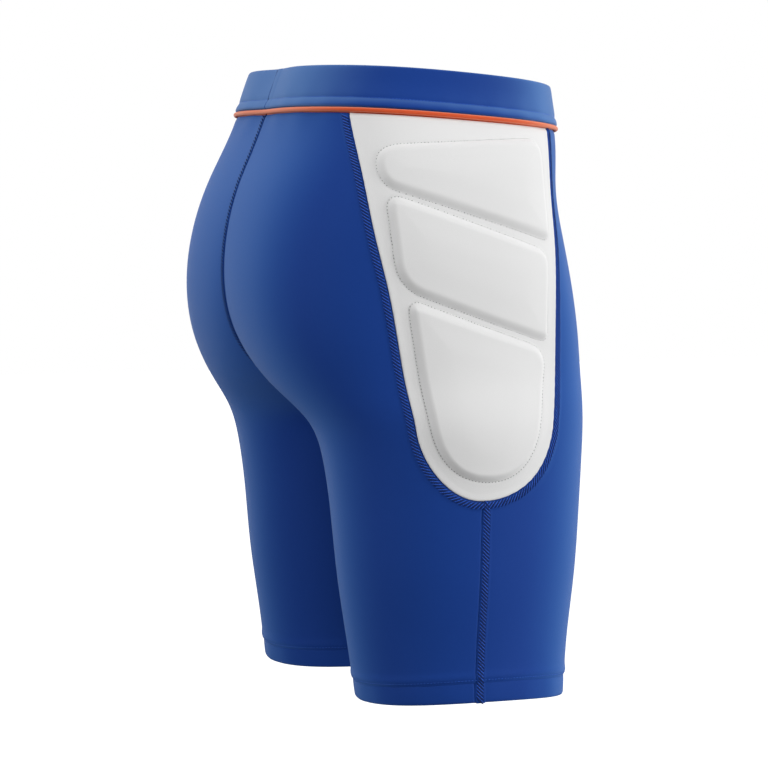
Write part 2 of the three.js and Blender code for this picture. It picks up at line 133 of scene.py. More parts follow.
HEM_OUTSIDE = (
    *(("top", 0.03, -1.6), ("top", 0.06, -0.8), ("top", 0.25, -0.58), ("top", 1.0, -0.5), ("top", 2.2, -0.4)),
    *(("top", 4.0, -0.32), ("top", 7.0, -0.28), ("bottom", -5.0, -0.28), ("bottom", -3.0, -0.3)),
    *(("bottom", -1.8, -0.42), ("bottom", -0.9, -0.75), ("bottom", -0.35, -1.15), ("bottom", -0.1, -1.7)),
)
HEM_INSIDE = (
    *(("bottom", -0.4, -2.2), ("bottom", -1.2, -2.5), ("bottom", -4.0, -2.6)),
    *(("top", 3.0, -2.6), ("top", 0.6, -2.5), ("top", 0.1, -2.2)),
)

# Points of a piece that lie nearer together than this are one
WELD = 0.004 * MM

# The waist's girth as a share of a circle's of the same width, and the length round the piping's cord
WAIST_ROUND = 0.87
PIPING_ROUND = 10.7 * MM

# Width and height of the knit's loops
WALE, COURSE = 0.62 * MM, 0.5 * MM

# Colours of the waistband and the piping seen at a slant: a painted sheen that their base colours turn toward at a
# slant, and their sheen tint; of the pads' thread; and of the painted shade in the holes beside it
BAND_SHEEN = (0.085, 0.19, 0.45)
ORANGE_SHEEN = (0.78, 0.25, 0.15)
WHITE_THREAD = (0.74, 0.74, 0.73)
HOLE_SHADE = (0.14, 0.14, 0.145)


def a_number(name, description, default):
    return bpy.props.FloatProperty(name=name, description=description, default=default)


def a_length(name, description, default):
    return bpy.props.FloatProperty(name=name, description=description, default=default, unit="LENGTH")


def two_lengths(name, description, default):
    return bpy.props.FloatVectorProperty(name=name, description=description, default=default, size=2, unit="LENGTH")


def a_colour(name, description, default):
    return bpy.props.FloatVectorProperty(name=name, description=description, default=default, subtype="COLOR")


class ShortsSizes(bpy.types.PropertyGroup):
    """Real sizes of the shorts"""

    rise: a_length("Rise", "Waist down to the crotch", 0.25)
    inseam: a_length("Inseam", "Crotch down to the hem", 0.214)
    waist: two_lengths("Waist", "Width and depth of the waist", (0.3, 0.214))
    hip: two_lengths("Hip", "Width and depth of the hips", (0.36, 0.258))
    thigh: two_lengths("Thigh", "Width and depth of a thigh", (0.191, 0.214))
    opening: two_lengths("Leg opening", "Width and depth of a leg opening", (0.15, 0.163))
    cloth: a_length("Knit", "Thickness of the knit", 0.0012)
    side_cloth: a_length("Side knit", "Thickness of the side panels", 0.0015)
    panel_end: a_length("Side panel end", "Waist down to the side panel's end", 0.306)
    panel_round: a_length("Side panel round", "Height of the side panel's round end", 0.056)
    band_height: a_length("Waistband", "Height of the waistband", 0.032)
    piping_height: a_length("Piping", "Thickness of the piping", 0.0034)
    hem_height: a_length("Hem", "Height of a leg hem", 0.015)


class PadSizes(bpy.types.PropertyGroup):
    """Sizes of the moulded fields over the foam pads"""

    rise: a_length("Pad rise", "How far a pad lifts the cloth", 0.0045)
    crown: a_length("Pad crown", "How much higher a pad's middle is", 0.001)
    bevel: a_length("Pad bevel", "Width of the slope round a pad", 0.0068)
    groove: a_length("Groove", "Depth of the pressed line at a pad's foot", 0.0005)
    inset: a_length("Foam inset", "From the stitched outline to the foam's edge", 0.005)


class StitchSizes(bpy.types.PropertyGroup):
    """Sizes of the threads and the distances between stitches"""

    thread: a_length("Thread", "Thickness of the sewing thread", 0.00042)
    flatlock_width: a_length("Flatlock width", "Width of the flatlock seam", 0.006)
    flatlock_pitch: a_length("Flatlock pitch", "Distance between flatlock threads", 0.0027)
    overlock_pitch: a_length("Overlock pitch", "Distance between overlock threads", 0.0024)
    line_pitch: a_length("Line pitch", "Distance between stitches in a plain line", 0.0026)


class Finishes(bpy.types.PropertyGroup):
    """Colours of the cloths, threads and foam"""

    blue: a_colour("Blue knit", "Colour of the blue knit", (0.0116, 0.0535, 0.287))
    # painted sheen: the blue knit's base colour turns toward this colour at a slant; it is also the knit's sheen tint
    blue_sheen: a_colour("Blue sheen", "Colour of the blue knit seen at a slant", (0.042, 0.13, 0.41))
    white: a_colour("White knit", "Colour of the white knit", (0.8, 0.8, 0.8))
    orange: a_colour("Orange knit", "Colour of the piping", (0.7, 0.1, 0.034))
    foam: a_colour("Foam", "Colour of the pads' foam", (0.6, 0.6, 0.58))


class StudioSettings(bpy.types.PropertyGroup):
    """Light and camera of the studio"""

    floor: a_length("Floor", "Height of the floor under the waist", -1.0)
    azimuth: a_number("Camera turn", "Turn of the camera behind the wearer's right", 68.1)
    elevation: a_number("Camera tilt", "Camera above the horizon", 3.835)
    distance: a_length("Camera distance", "From the camera to the shorts", 2.2963)
    aim_side: a_length("Aim sideways", "The aim's distance beside the origin", -0.0083)
    aim_height: a_length("Aim height", "The aim's height", -0.2289)
    lens: a_number("Lens", "Focal length in millimetres", 133.04)
    world: a_number("World light", "Strength of the white room", 0.2)
    left_light: a_number("Left light", "Watts of the light at the left", 12.5)
    right_light: a_number("Right light", "Watts of the light at the right", 22.0)
    top_light: a_number("Top light", "Watts of the light above", 9.0)
    front_light: a_number("High front light", "Watts of the light above the camera's side", 6.0)
    far_light: a_number("Far lights", "Watts of each light on the side away from the camera", 9.0)


def natural_spline(at, values):
    """A smooth curve through the values, with no bend at its ends."""
    at, values = np.array(at, float), np.array(values, float)
    gap = np.diff(at)
    rows, pull = np.eye(len(at)), np.zeros(len(at))
    for i in range(1, len(at) - 1):
        rows[i, i - 1 : i + 2] = gap[i - 1], 2 * (gap[i - 1] + gap[i]), gap[i]
        pull[i] = 6 * ((values[i + 1] - values[i]) / gap[i] - (values[i] - values[i - 1]) / gap[i - 1])
    bend = np.linalg.solve(rows, pull)

    def curve(x):
        x = np.asarray(x, float)
        i = np.clip(np.searchsorted(at, x) - 1, 0, len(at) - 2)
        right = (x - at[i]) / gap[i]
        left = 1 - right
        bow = ((left**3 - left) * bend[i] + (right**3 - right) * bend[i + 1]) * gap[i] ** 2 / 6
        return left * values[i] + right * values[i + 1] + bow

    return curve


def smoothstep(low, high, x):
    share = np.clip((x - low) / (high - low), 0, 1)
    return share * share * (3 - 2 * share)


def rising_root(function, target, low, high):
    """Where a rising function of an array reaches its target."""
    low, high = np.broadcast_arrays(np.asarray(low, float), np.asarray(high, float))
    low, high = low.copy(), high.copy()
    for _ in range(40):
        middle = (low + high) / 2
        below = function(middle) < target
        low = np.where(below, middle, low)
        high = np.where(below, high, middle)
    return (low + high) / 2


class WornForm:
    """The cloth's outer surface on the wearer's right half, in metres."""

    def __init__(self, sizes):
        self.sizes = sizes
        rows = [dict(zip(SECTION_COLUMNS, row)) for row in SECTIONS]
        drops = [self.drop_at(row["at"]) for row in rows]

        def column(key, axis=None):
            scale = [1.0 if axis is None else getattr(sizes, row["girth"])[axis] for row in rows]
            return natural_spline(drops, [row[key] * s for row, s in zip(rows, scale)])

        self.half = column("half", 0)
        self.shift, self.back, self.front = column("shift", 1), column("back", 1), column("front", 1)
        self.apart, self.square = column("apart"), column("square")
        self.tilt, self.splay, self.arch = column("tilt"), column("splay"), column("arch", 1)
        edges = [dict(zip(EDGE_COLUMNS, row)) for row in PANEL_EDGES]
        edge_drops = [row["down"] * sizes.panel_end for row in edges]
        self.edge = {
            side: natural_spline(edge_drops, [row[key] * getattr(sizes, row["girth"])[1] for row in edges])
            for side, key in ((BACK, "back"), (FRONT, "front"))
        }
        self.band_top = -sizes.band_height / 2
        self.band_bottom = sizes.band_height / 2
        self.piping_middle = self.band_bottom + 0.3 * MM + sizes.piping_height / 2
        self.panel_top = self.band_bottom + 0.6 * MM + sizes.piping_height
        self.round_start = sizes.panel_end - sizes.panel_round
        self.seam_y = 0.028 * sizes.thigh[1]
        self.hem_bottom = sizes.rise + sizes.inseam
        self.hem_top = self.hem_bottom - sizes.hem_height

    def drop_at(self, at):
        return at * self.sizes.rise if at < 1 else self.sizes.rise + (at - 1) * self.sizes.inseam

    def place(self, angle, drop):
        angle, drop = np.broadcast_arrays(np.asarray(angle, float), np.asarray(drop, float))
        half, back, front = self.half(drop), self.back(drop), self.front(drop)
        swell = 1 + self.square(drop) * (1 - np.cos(4 * angle)) / 2
        outward = half * swell * np.cos(angle)
        rearward = swell * np.sin(angle)
        y = self.shift(drop) + (back + front) / 2 * rearward + (back - front) / 2 * rearward**2
        x = -half * self.apart(drop) - outward
        z = -drop + self.tilt(drop) * y + self.splay(drop) * outward + self.arch(drop) * (1 - 2 * rearward**2)
        dip = WAIST_DIP * np.exp(-((x / WAIST_DIP_REACH) ** 2)) * (1 - smoothstep(30 * MM, 80 * MM, drop))
        hollow = HOLLOW * np.exp(-((x / HOLLOW_REACH) ** 2)) * (1 - smoothstep(-20 * MM, 45 * MM, drop))
        return np.stack([x, y - np.where(y > 0, hollow, 0), z - np.where(y > 0, dip, 0)], -1)

    def normal(self, angle, drop):
        along = self.place(angle + 0.004, drop) - self.place(angle - 0.004, drop)
        down = self.place(angle, drop + 0.3 * MM) - self.place(angle, drop - 0.3 * MM)
        normal = np.cross(along, down)
        return normal / np.linalg.norm(normal, axis=-1, keepdims=True)

    def cloth(self, angle, drop, proud):
        proud = np.asarray(proud, float)
        return self.place(angle, drop) + self.normal(angle, drop) * (proud[..., None] if proud.ndim else proud)

    def side_angle(self, y, drop):
        return rising_root(lambda angle: self.place(angle, drop)[..., 1], y, np.full(np.shape(drop), -1.57), 1.57)

    def midline_angle(self, drop, clear):
        inseam = np.pi - clear / self.back(drop)
        low = np.full(np.shape(drop), np.pi / 2)
        crossing = rising_root(lambda angle: self.place(angle, drop)[..., 0], -clear, low, np.pi)
        return np.minimum(inseam, crossing)

    def panel_edges(self, drop):
        """The side panel's back and front edge beside each drop, or the side seam below the panel."""
        turn = np.arcsin(np.clip((drop - self.round_start) / self.sizes.panel_round, 0, 1))
        start = np.full(np.shape(drop), self.round_start)
        centre = (self.edge[BACK](start) + self.edge[FRONT](start)) / 2
        middle = centre + (self.seam_y - centre) * np.sin(turn) ** 2
        straight = drop <= self.round_start
        back, front = self.edge[BACK](drop), self.edge[FRONT](drop)
        back = np.where(straight, back, middle + (back - middle) * np.cos(turn))
        front = np.where(straight, front, middle + (front - middle) * np.cos(turn))
        return back, front

    def panel_drops(self, step):
        """Drops of the side panel's rows, closer together where its end is flat."""
        straight = np.arange(self.panel_top, self.round_start, step)
        turns = np.linspace(0, np.pi / 2, int(self.sizes.panel_round / step * 1.6) + 1)
        return np.concatenate([straight, self.round_start + self.sizes.panel_round * np.sin(turns)])

    def outline(self):
        """The side panel's edge from the top of its back, round its end and up to the top of its front."""
        drop = self.panel_drops(1.0 * MM)
        back, front = self.panel_edges(drop)
        drops = np.concatenate([drop, drop[-2::-1]])
        edge = np.concatenate([back, front[-2::-1]])
        return self.side_angle(edge, drops), drops

    def pad_outline(self, name, step=1.2 * MM):
        """A pad's stitched outline as side-view points: behind the origin, and below it."""
        corners = []
        for across, down, rounding in PADS[name]:
            drop = self.panel_top + down * (self.sizes.panel_end - self.panel_top)
            front, back = float(self.edge[FRONT](drop)), float(self.edge[BACK](drop))
            corners.append((np.array([front + across * (back - front), drop]), rounding * MM))
        points = []
        for i, (corner, rounding) in enumerate(corners):
            start, end = (
                corner + (other - corner) * min(rounding / np.linalg.norm(other - corner), 0.5)
                for other in (corners[i - 1][0], corners[(i + 1) % len(corners)][0])
            )
            for t in np.linspace(0, 1, 24):
                points.append((1 - t) ** 2 * start + 2 * t * (1 - t) * corner + t * t * end)
        return resample(np.array(points + points[:1]), step)[:-1]


def resample(points, step):
    """The same path with its points a step apart."""
    length = np.concatenate([[0], np.cumsum(np.linalg.norm(np.diff(points, axis=0), axis=1))])
    count = max(2, int(round(length[-1] / step)) + 1)
    wanted = np.linspace(0, length[-1], count)
    return np.stack([np.interp(wanted, length, points[:, i]) for i in range(points.shape[1])], 1)


def depth_inside(outline, places):
    """How deep each side-view place lies inside an outline, or minus its distance from it."""
    nearest = np.full(len(places), 1e9)
    inside = np.zeros(len(places), bool)
    for a, b in zip(outline, np.roll(outline, -1, axis=0)):
        along = b - a
        share = np.clip(((places - a) @ along) / (along @ along), 0, 1)
        nearest = np.minimum(nearest, np.linalg.norm(places - a - share[:, None] * along, axis=1))
        crosses = (a[1] > places[:, 1]) != (b[1] > places[:, 1])
        if along[1]:
            inside ^= crosses & (places[:, 0] < a[0] + (places[:, 1] - a[1]) / along[1] * along[0])
    return np.where(inside, nearest, -nearest)


def distance_to(path, points):
    """Distance of each point from the nearest point of a dense path."""
    flat = points.reshape(-1, 3)
    nearest = np.full(len(flat), 1e9)
    for start in range(0, len(path), 64):
        part = path[start : start + 64]
        away = np.linalg.norm(flat[:, None, :] - part[None, :, :], axis=2).min(1)
        nearest = np.minimum(nearest, away)
    return nearest.reshape(points.shape[:-1])


def pad_lift(form, pads, y, drop):
    """How far the pads lift the side cloth at side-view places."""
    places = np.stack([np.ravel(y), np.ravel(drop)], 1)
    depth = np.max([depth_inside(form.pad_outline(name), places) for name in PADS], axis=0)
    slope = np.clip(depth / pads.bevel, 0, 1)
    lift = pads.rise * np.sin(slope * np.pi / 2) ** 1.15
    lift += pads.crown * smoothstep(pads.bevel * 0.7, pads.bevel * 4, depth)
    lift -= pads.groove * np.exp(-((depth / (0.9 * MM)) ** 2))
    return lift.reshape(np.shape(y))


def sheet_faces(rows, columns):
    """Faces of a closed sheet between an outer grid of points and an inner one that follows it in the list."""
    index = np.arange(rows * columns).reshape(rows, columns)
    inner = index + rows * columns
    top = np.stack([index[:-1, :-1], index[:-1, 1:], index[1:, 1:], index[1:, :-1]], -1).reshape(-1, 4)
    under = np.stack([inner[:-1, :-1], inner[1:, :-1], inner[1:, 1:], inner[:-1, 1:]], -1).reshape(-1, 4)
    rims = [
        np.stack([index[:-1, 0], index[1:, 0], inner[1:, 0], inner[:-1, 0]], -1),
        np.stack([index[:-1, -1], inner[:-1, -1], inner[1:, -1], index[1:, -1]], -1),
        np.stack([index[0, :-1], inner[0, :-1], inner[0, 1:], index[0, 1:]], -1),
        np.stack([index[-1, :-1], index[-1, 1:], inner[-1, 1:], inner[-1, :-1]], -1),
    ]
    return np.concatenate([top, under, *rims])


def ring_faces(stations, around, closed=True):
    """Faces of a profile carried round a closed loop."""
    index = np.arange(stations * around).reshape(stations, around)
    ahead = np.roll(index, -1, axis=0)
    if not closed:
        index, ahead = index[:-1], ahead[:-1]
    a, b = index, ahead
    return np.stack([a, b, np.roll(b, -1, axis=1), np.roll(a, -1, axis=1)], -1).reshape(-1, 4)


def cloth_uv(grid):
    """Length along each row and down each column, in metres."""
    across = np.zeros(grid.shape[:2])
    across[:, 1:] = np.cumsum(np.linalg.norm(np.diff(grid, axis=1), axis=2), axis=1)
    across -= across.mean(axis=1, keepdims=True)
    down = np.zeros(grid.shape[:2])
    down[1:] = np.cumsum(np.linalg.norm(np.diff(grid, axis=0), axis=2), axis=0)
    return np.stack([across, -down.mean(axis=1, keepdims=True) + 0 * across], -1)


def loop_length(points):
    """Length of a closed loop of points."""
    return np.linalg.norm(np.diff(points, axis=0, append=points[:1]), axis=1).sum()


def add_object(name, data):
    made = bpy.data.objects.new(name, data)
    bpy.context.scene.collection.objects.link(made)
    return made


def set_uv(mesh, uv):
    """Gives each corner of a mesh its point's place on the flat cloth, in metres."""
    uv = np.asarray(uv, np.float32).reshape(-1, 2)
    layer = mesh.uv_layers.new(name="cloth")
    corners = np.zeros(len(mesh.loops), np.int32)
    mesh.loops.foreach_get("vertex_index", corners)
    layer.data.foreach_set("uv", uv[np.minimum(corners, len(uv) - 1)].ravel())


def make_piece(name, points, faces, material, side=1.0, uv=None, weld=0.0):
    """A smooth mesh object of the given points and faces, mirrored for the wearer's left."""
    points = np.asarray(points, float).reshape(-1, 3) * (side, 1, 1)
    faces = [list(face) for face in (faces[:, ::-1] if side < 0 else faces)]
    mesh = bpy.data.meshes.new(name)
    mesh.from_pydata(points.tolist(), [], faces)
    if uv is not None:
        set_uv(mesh, uv)
    mesh.polygons.foreach_set("use_smooth", np.ones(len(mesh.polygons), bool))
    mesh.materials.append(material)
    piece = add_object(name, mesh)
    if weld:
        merge_doubles(mesh, weld)
    return piece


def merge_doubles(mesh, distance):
    work = bmesh.new()
    work.from_mesh(mesh)
    bmesh.ops.remove_doubles(work, verts=work.verts, dist=distance)
    bmesh.ops.dissolve_degenerate(work, edges=work.edges, dist=distance / 10)
    work.to_mesh(mesh)
    work.free()


def sharpen(piece, degrees):
    piece.data.set_sharp_from_angle(angle=math.radians(degrees))


def put_on(piece, slot, *nodes):
    """The piece rides on the shorts and stands for its nodes. The slot is not used."""
    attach(piece, BODY)
    if nodes:
        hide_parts(*nodes)


def make_sheets(name, grids, material, corner, slot):
    """A panel's right and left piece of cloth between an outer and an inner grid of points."""
    outer, inner = grids
    points = np.concatenate([outer.reshape(-1, 3), inner.reshape(-1, 3)])
    uv = np.stack([cloth_uv(outer), cloth_uv(inner)])
    faces = sheet_faces(*outer.shape[:2])
    for side, sign in SIDES.items():
        piece = make_piece(f"knit_{name}_{side}", points, faces, material, sign, uv, WELD)
        sharpen(piece, corner)
        put_on(piece, slot, f"{name}_{side}")


def leg_rows(form):
    """Drops of a leg panel's rows."""
    crotch, panel_end = form.sizes.rise, form.sizes.panel_end
    near = np.array(CROTCH_ROWS) * MM
    rows = np.concatenate(
        [
            form.panel_drops(2.8 * MM),
            np.arange(panel_end + 13 * MM, form.hem_top - 11 * MM, 3.2 * MM),
            form.hem_top - np.array(HEM_ROWS) * MM,
            crotch - near,
            [crotch],
            crotch + near,
            panel_end + np.array(PANEL_END_ROWS) * MM,
        ]
    )
    rows = np.unique(np.round(rows, 6))
    return rows[np.concatenate([[True], np.diff(rows) > 0.08 * MM])]


def seam_paths(form):
    """The seams of the right half as dense paths on the cloth's outer surface: angles, drops."""
    outline = form.outline()
    seam_drop = np.arange(form.sizes.panel_end, form.hem_bottom - 1.5 * MM, 1.0 * MM)
    side_seam = form.side_angle(np.full(seam_drop.shape, form.seam_y), seam_drop), seam_drop
    rise = form.sizes.rise
    upper = form.panel_top + (rise - form.panel_top) * np.sin(np.linspace(0, np.pi / 2, 260))
    inseam_drop = np.arange(rise, form.hem_bottom, 1.0 * MM)
    inseam = np.full(inseam_drop.shape, np.pi), inseam_drop
    centre = {side: (side * form.midline_angle(upper, 0.0), upper) for side in (BACK, FRONT)}
    return {"outline": outline, "side": side_seam, "inseam": inseam, "back": centre[BACK], "front": centre[FRONT]}


def seam_dip(distance, depth, width):
    return -depth * np.exp(-((distance / width) ** 2))


def flatlock_ridge(distance, width):
    """How far the threads of a flatlock seam lift the cloth beside the seam's edge."""
    rising = smoothstep(0.5 * MM, 1.3 * MM, distance)
    return 0.32 * MM * rising * (1 - smoothstep(width + 0.9 * MM, width + 1.7 * MM, distance))


def hem_roll(form, drop):
    """The cloth's swelling above the hem, its tuck at the hem's stitches and the hem below them."""
    above = form.hem_top - drop
    swelling = 0.75 * MM * np.exp(-(((above - 4.6 * MM) / (3.4 * MM)) ** 2))
    leg = swelling - 0.62 * MM * np.exp(-((above / (2.0 * MM)) ** 2))
    outside = hem_profile(form, HEM_OUTSIDE)
    return np.where(above > 0, leg, np.interp(drop, outside[:, 0], outside[:, 1]))


def waist_gather(angle, drop, form):
    """The cloth's slight pull where it is sewn to the waistband."""
    below = drop - form.panel_top
    tuck = -0.5 * MM * np.exp(-((below / (1.6 * MM)) ** 2))
    return tuck + 0.25 * MM * np.exp(-((below / (14 * MM)) ** 2)) * np.sin(angle * 23)


def leg_panel_grid(form, toward, stitches):
    """Outer and inner points of a front or back panel on the wearer's right."""
    drop = leg_rows(form)
    back_edge, front_edge = form.panel_edges(drop)
    hairline = 0.06 * MM
    edge_y = np.where(drop > form.sizes.panel_end, form.seam_y, back_edge if toward > 0 else front_edge)
    side = form.side_angle(edge_y + toward * hairline, drop)
    middle = toward * form.midline_angle(drop, hairline)
    share = np.linspace(0, 1, 360)
    fine = side[:, None] + (middle - side)[:, None] * share
    places = form.place(fine, drop[:, None])
    length = np.zeros(fine.shape)
    length[:, 1:] = np.cumsum(np.linalg.norm(np.diff(places, axis=1), axis=2), axis=1)
    near_side, near_middle = np.array(SIDE_SEAM_LINES) * MM, np.array(CENTRE_SEAM_LINES) * MM
    between = 58
    angles = np.empty((len(drop), len(near_side) + between + len(near_middle)))
    for i, total in enumerate(length[:, -1]):
        filling = np.linspace(near_side[-1], total - near_middle[-1], between + 2)[1:-1]
        wanted = np.concatenate([near_side, filling, total - near_middle[::-1]])
        angles[i] = np.interp(wanted, length[i], fine[i])
    drops = np.broadcast_to(drop[:, None], angles.shape)
    if toward < 0:
        angles, drops = angles[:, ::-1], drops[:, ::-1]
    surface = form.place(angles, drops)
    away = {name: distance_to(form.place(*path), surface) for name, path in seam_paths(form).items()}
    width = stitches.flatlock_width
    proud = seam_dip(away["outline"], 0.75 * MM, 0.7 * MM) + seam_dip(away["side"], 0.6 * MM, 0.7 * MM)
    ridge = flatlock_ridge(away["outline"], width)
    if toward < 0:
        ridge = np.maximum(ridge, flatlock_ridge(away["side"], width))
    centre = away["back"] if toward > 0 else away["front"]
    proud = proud + ridge + seam_dip(centre, 1.0 * MM, 1.1 * MM) + seam_dip(away["inseam"], 0.7 * MM, 0.9 * MM)
    proud = proud + hem_roll(form, drops) + waist_gather(angles, drops, form)
    outer = form.cloth(angles, drops, proud)
    inner = form.cloth(angles, drops, np.minimum(proud, 0) - form.sizes.cloth)
    return outer, inner


def side_panel_grid(form, pads):
    """Outer and inner points of the side panel on the wearer's right."""
    drop = form.panel_drops(1.15 * MM)
    back, front = form.panel_edges(drop)
    lip = np.array(LIP_LINES) * MM
    columns = []
    for y0, y1 in zip(front, back):
        width = y1 - y0
        edge = lip * min(1.0, width / (4 * lip[-1])) if width else lip * 0
        middle = np.linspace(y0 + edge[-1], y1 - edge[-1], 126)[1:-1]
        columns.append(np.concatenate([y0 + edge, middle, y1 - edge[::-1]]))
    y = np.array(columns)
    drops = np.broadcast_to(drop[:, None], y.shape)
    angles = form.side_angle(y, drops)
    surface = form.place(angles, drops)
    path = form.place(*form.outline())
    away = distance_to(path, surface)
    away[:, 0] = 0
    away[:, -1] = 0
    away[-1, :] = 0
    lip_height = 0.9 * MM
    round_off = np.sqrt(np.clip(1 - (1 - np.clip(away / (1.25 * MM), 0, 1)) ** 2, 0, 1))
    proud = -0.45 * MM + (lip_height + 0.45 * MM) * round_off - 0.35 * MM * smoothstep(1.5 * MM, 6 * MM, away)
    tucked = np.exp(-(((drops - form.panel_top) / (1.6 * MM)) ** 2))
    proud = proud - 1.1 * MM * tucked
    lift = pad_lift(form, pads, y, drops)
    outer = form.cloth(angles, drops, proud + np.maximum(lift, -pads.groove))
    inner = form.cloth(angles, drops, np.minimum(proud, 0) + np.maximum(lift, 0) - form.sizes.side_cloth)
    return outer, inner


def pad_block(form, pads, name):
    """A foam pad on the wearer's right: rings of points on top, round the edge and underneath."""
    outline = form.pad_outline(name, 2.4 * MM)
    centre = outline.mean(axis=0)
    radius = np.linalg.norm(outline - centre, axis=1, keepdims=True)
    rim = centre + (outline - centre) * (radius - pads.inset) / radius
    shares = np.concatenate([np.linspace(0, 0.93, 15), [0.965, 0.985, 1.0]])
    reach = (rim - centre)[None] * shares[:, None, None] + centre
    y, drop = reach[..., 0], reach[..., 1]
    angles = form.side_angle(y, drop)
    lift = np.maximum(pad_lift(form, pads, y, drop), 0)
    under = -form.sizes.side_cloth
    thick = lift - 0.3 * MM
    round_off = (1 - np.sqrt(np.clip(1 - np.clip((shares - 0.93) / 0.07, 0, 1) ** 2, 0, 1)))[:, None]
    top = form.cloth(angles, drop, under + thick - 0.5 * thick * round_off)
    bottom = form.cloth(angles, drop, under + 0.35 * thick * round_off)
    return top, bottom


def polar_faces(rings, around):
    """Faces of a top and a bottom disc of rings, joined round the edge. Steps run clockwise seen from outside."""
    index = np.arange(rings * around).reshape(rings, around)
    after = np.roll(index, -1, axis=1)
    top = np.stack([index[:-1], after[:-1], after[1:], index[1:]], -1).reshape(-1, 4)
    under = top[:, ::-1] + rings * around
    rim = np.stack([index[-1], after[-1], after[-1] + rings * around, index[-1] + rings * around], -1)
    return np.concatenate([top, under, rim])


def waist_point(form, share, drop, proud):
    """Round the waist from the front's middle past the wearer's right to the back's middle and on past the left."""
    share, drop, proud = np.broadcast_arrays(share, drop, proud)
    right = share <= 0.5
    angle = form.midline_angle(drop, 0.0) * np.where(right, 4 * share - 1, 3 - 4 * share)
    place, normal = form.place(angle, drop), form.normal(angle, drop)
    centre = (share == 0) | (share == 0.5)
    place[..., 0] = np.where(centre, 0, place[..., 0])
    normal[..., 0] = np.where(centre, 0, normal[..., 0])
    normal /= np.linalg.norm(normal, axis=-1, keepdims=True)
    place = place + normal * proud[..., None]
    place[..., 0] *= np.where(right, 1, -1)
    return place


def even_shares(form, drop, count):
    """Shares round the waist that lie equally far apart."""
    share = np.linspace(0, 1, 2001)
    path = waist_point(form, share, np.full(share.shape, drop), np.zeros(share.shape))
    length = np.concatenate([[0], np.cumsum(np.linalg.norm(np.diff(path, axis=0), axis=1))])
    shares = np.interp(np.linspace(0, length[-1], count + 1)[:-1], length, share)
    shares[0] = 0
    shares[count // 2] = 0.5
    return shares


def section_profile(section, **levels):
    """A section's drops and distances off the panels' surface, in metres."""
    return np.array([(levels[level] + below * MM, off * MM) for level, below, off in section])


def band_profile(form):
    top, bottom = form.band_top, form.band_bottom
    return section_profile(BAND_SECTION, top=top, fold=bottom - FOLD_HEIGHT, bottom=bottom)


def hem_profile(form, section=HEM_OUTSIDE + HEM_INSIDE):
    return section_profile(section, top=form.hem_top, bottom=form.hem_bottom)


def profile_uv(stations, profile, length):
    """Length round the loop and down the profile, in metres."""
    down = np.concatenate([[0], np.cumsum(np.linalg.norm(np.diff(profile, axis=0), axis=1))])
    around = np.linspace(0, length, stations, endpoint=False)
    return np.stack(np.meshgrid(around, -down, indexing="ij"), -1)


def path_frame(points, normals):
    """Unit vectors along a path and across it, for the given normals."""
    along = np.gradient(points, axis=0)
    along -= (along * normals).sum(1, keepdims=True) * normals
    along /= np.linalg.norm(along, axis=1, keepdims=True)
    return along, np.cross(normals, along)


def stitch_places(form, angles, drops, pitch, across=0.0, lift=0.0, phase=0.5, between=False):
    """Centres, directions and normals of stitches along a path, moved across it and off the cloth.

    Stitches between the two halves stay in the plane of symmetry."""
    path = np.stack([angles, drops], 1)
    points = form.place(angles, drops)
    length = np.concatenate([[0], np.cumsum(np.linalg.norm(np.diff(points, axis=0), axis=1))])
    count = max(2, int(length[-1] / pitch))
    wanted = (np.arange(count) + phase) * length[-1] / count
    at = np.stack([np.interp(wanted, length, path[:, i]) for i in range(2)], 1)
    centre, normal = form.place(at[:, 0], at[:, 1]), form.normal(at[:, 0], at[:, 1])
    if between:
        normal *= (0, 1, 1)
        normal /= np.linalg.norm(normal, axis=1, keepdims=True)
    along, sideways = path_frame(centre, normal)
    proud = lift + np.where(at[:, 1] > form.sizes.rise, hem_roll(form, at[:, 1]), 0)
    return centre + sideways * across + normal * proud[:, None], along, normal


def node(tree, kind, **values):
    made = tree.nodes.new(kind)
    for name, value in values.items():
        if name in made.inputs:
            made.inputs[name].default_value = value
        else:
            setattr(made, name, value)
    return made


def wire(tree, *links):
    """Joins nodes: each link is a node and its output, then a node and its input."""
    for source, output, sink, entry in links:
        tree.links.new(source.outputs[output], sink.inputs[entry])


def group_tree(name, inputs, output):
    """A geometry node tree with named inputs and one output: the tree, its source and its sink."""
    tree = bpy.data.node_groups.new(name, "GeometryNodeTree")
    for label, kind, default in inputs:
        socket = tree.interface.new_socket(name=label, in_out="INPUT", socket_type=f"NodeSocket{kind}")
        if default is not None:
            socket.default_value = default
    tree.interface.new_socket(name=output, in_out="OUTPUT", socket_type="NodeSocketGeometry")
    return tree, tree.nodes.new("NodeGroupInput"), tree.nodes.new("NodeGroupOutput")


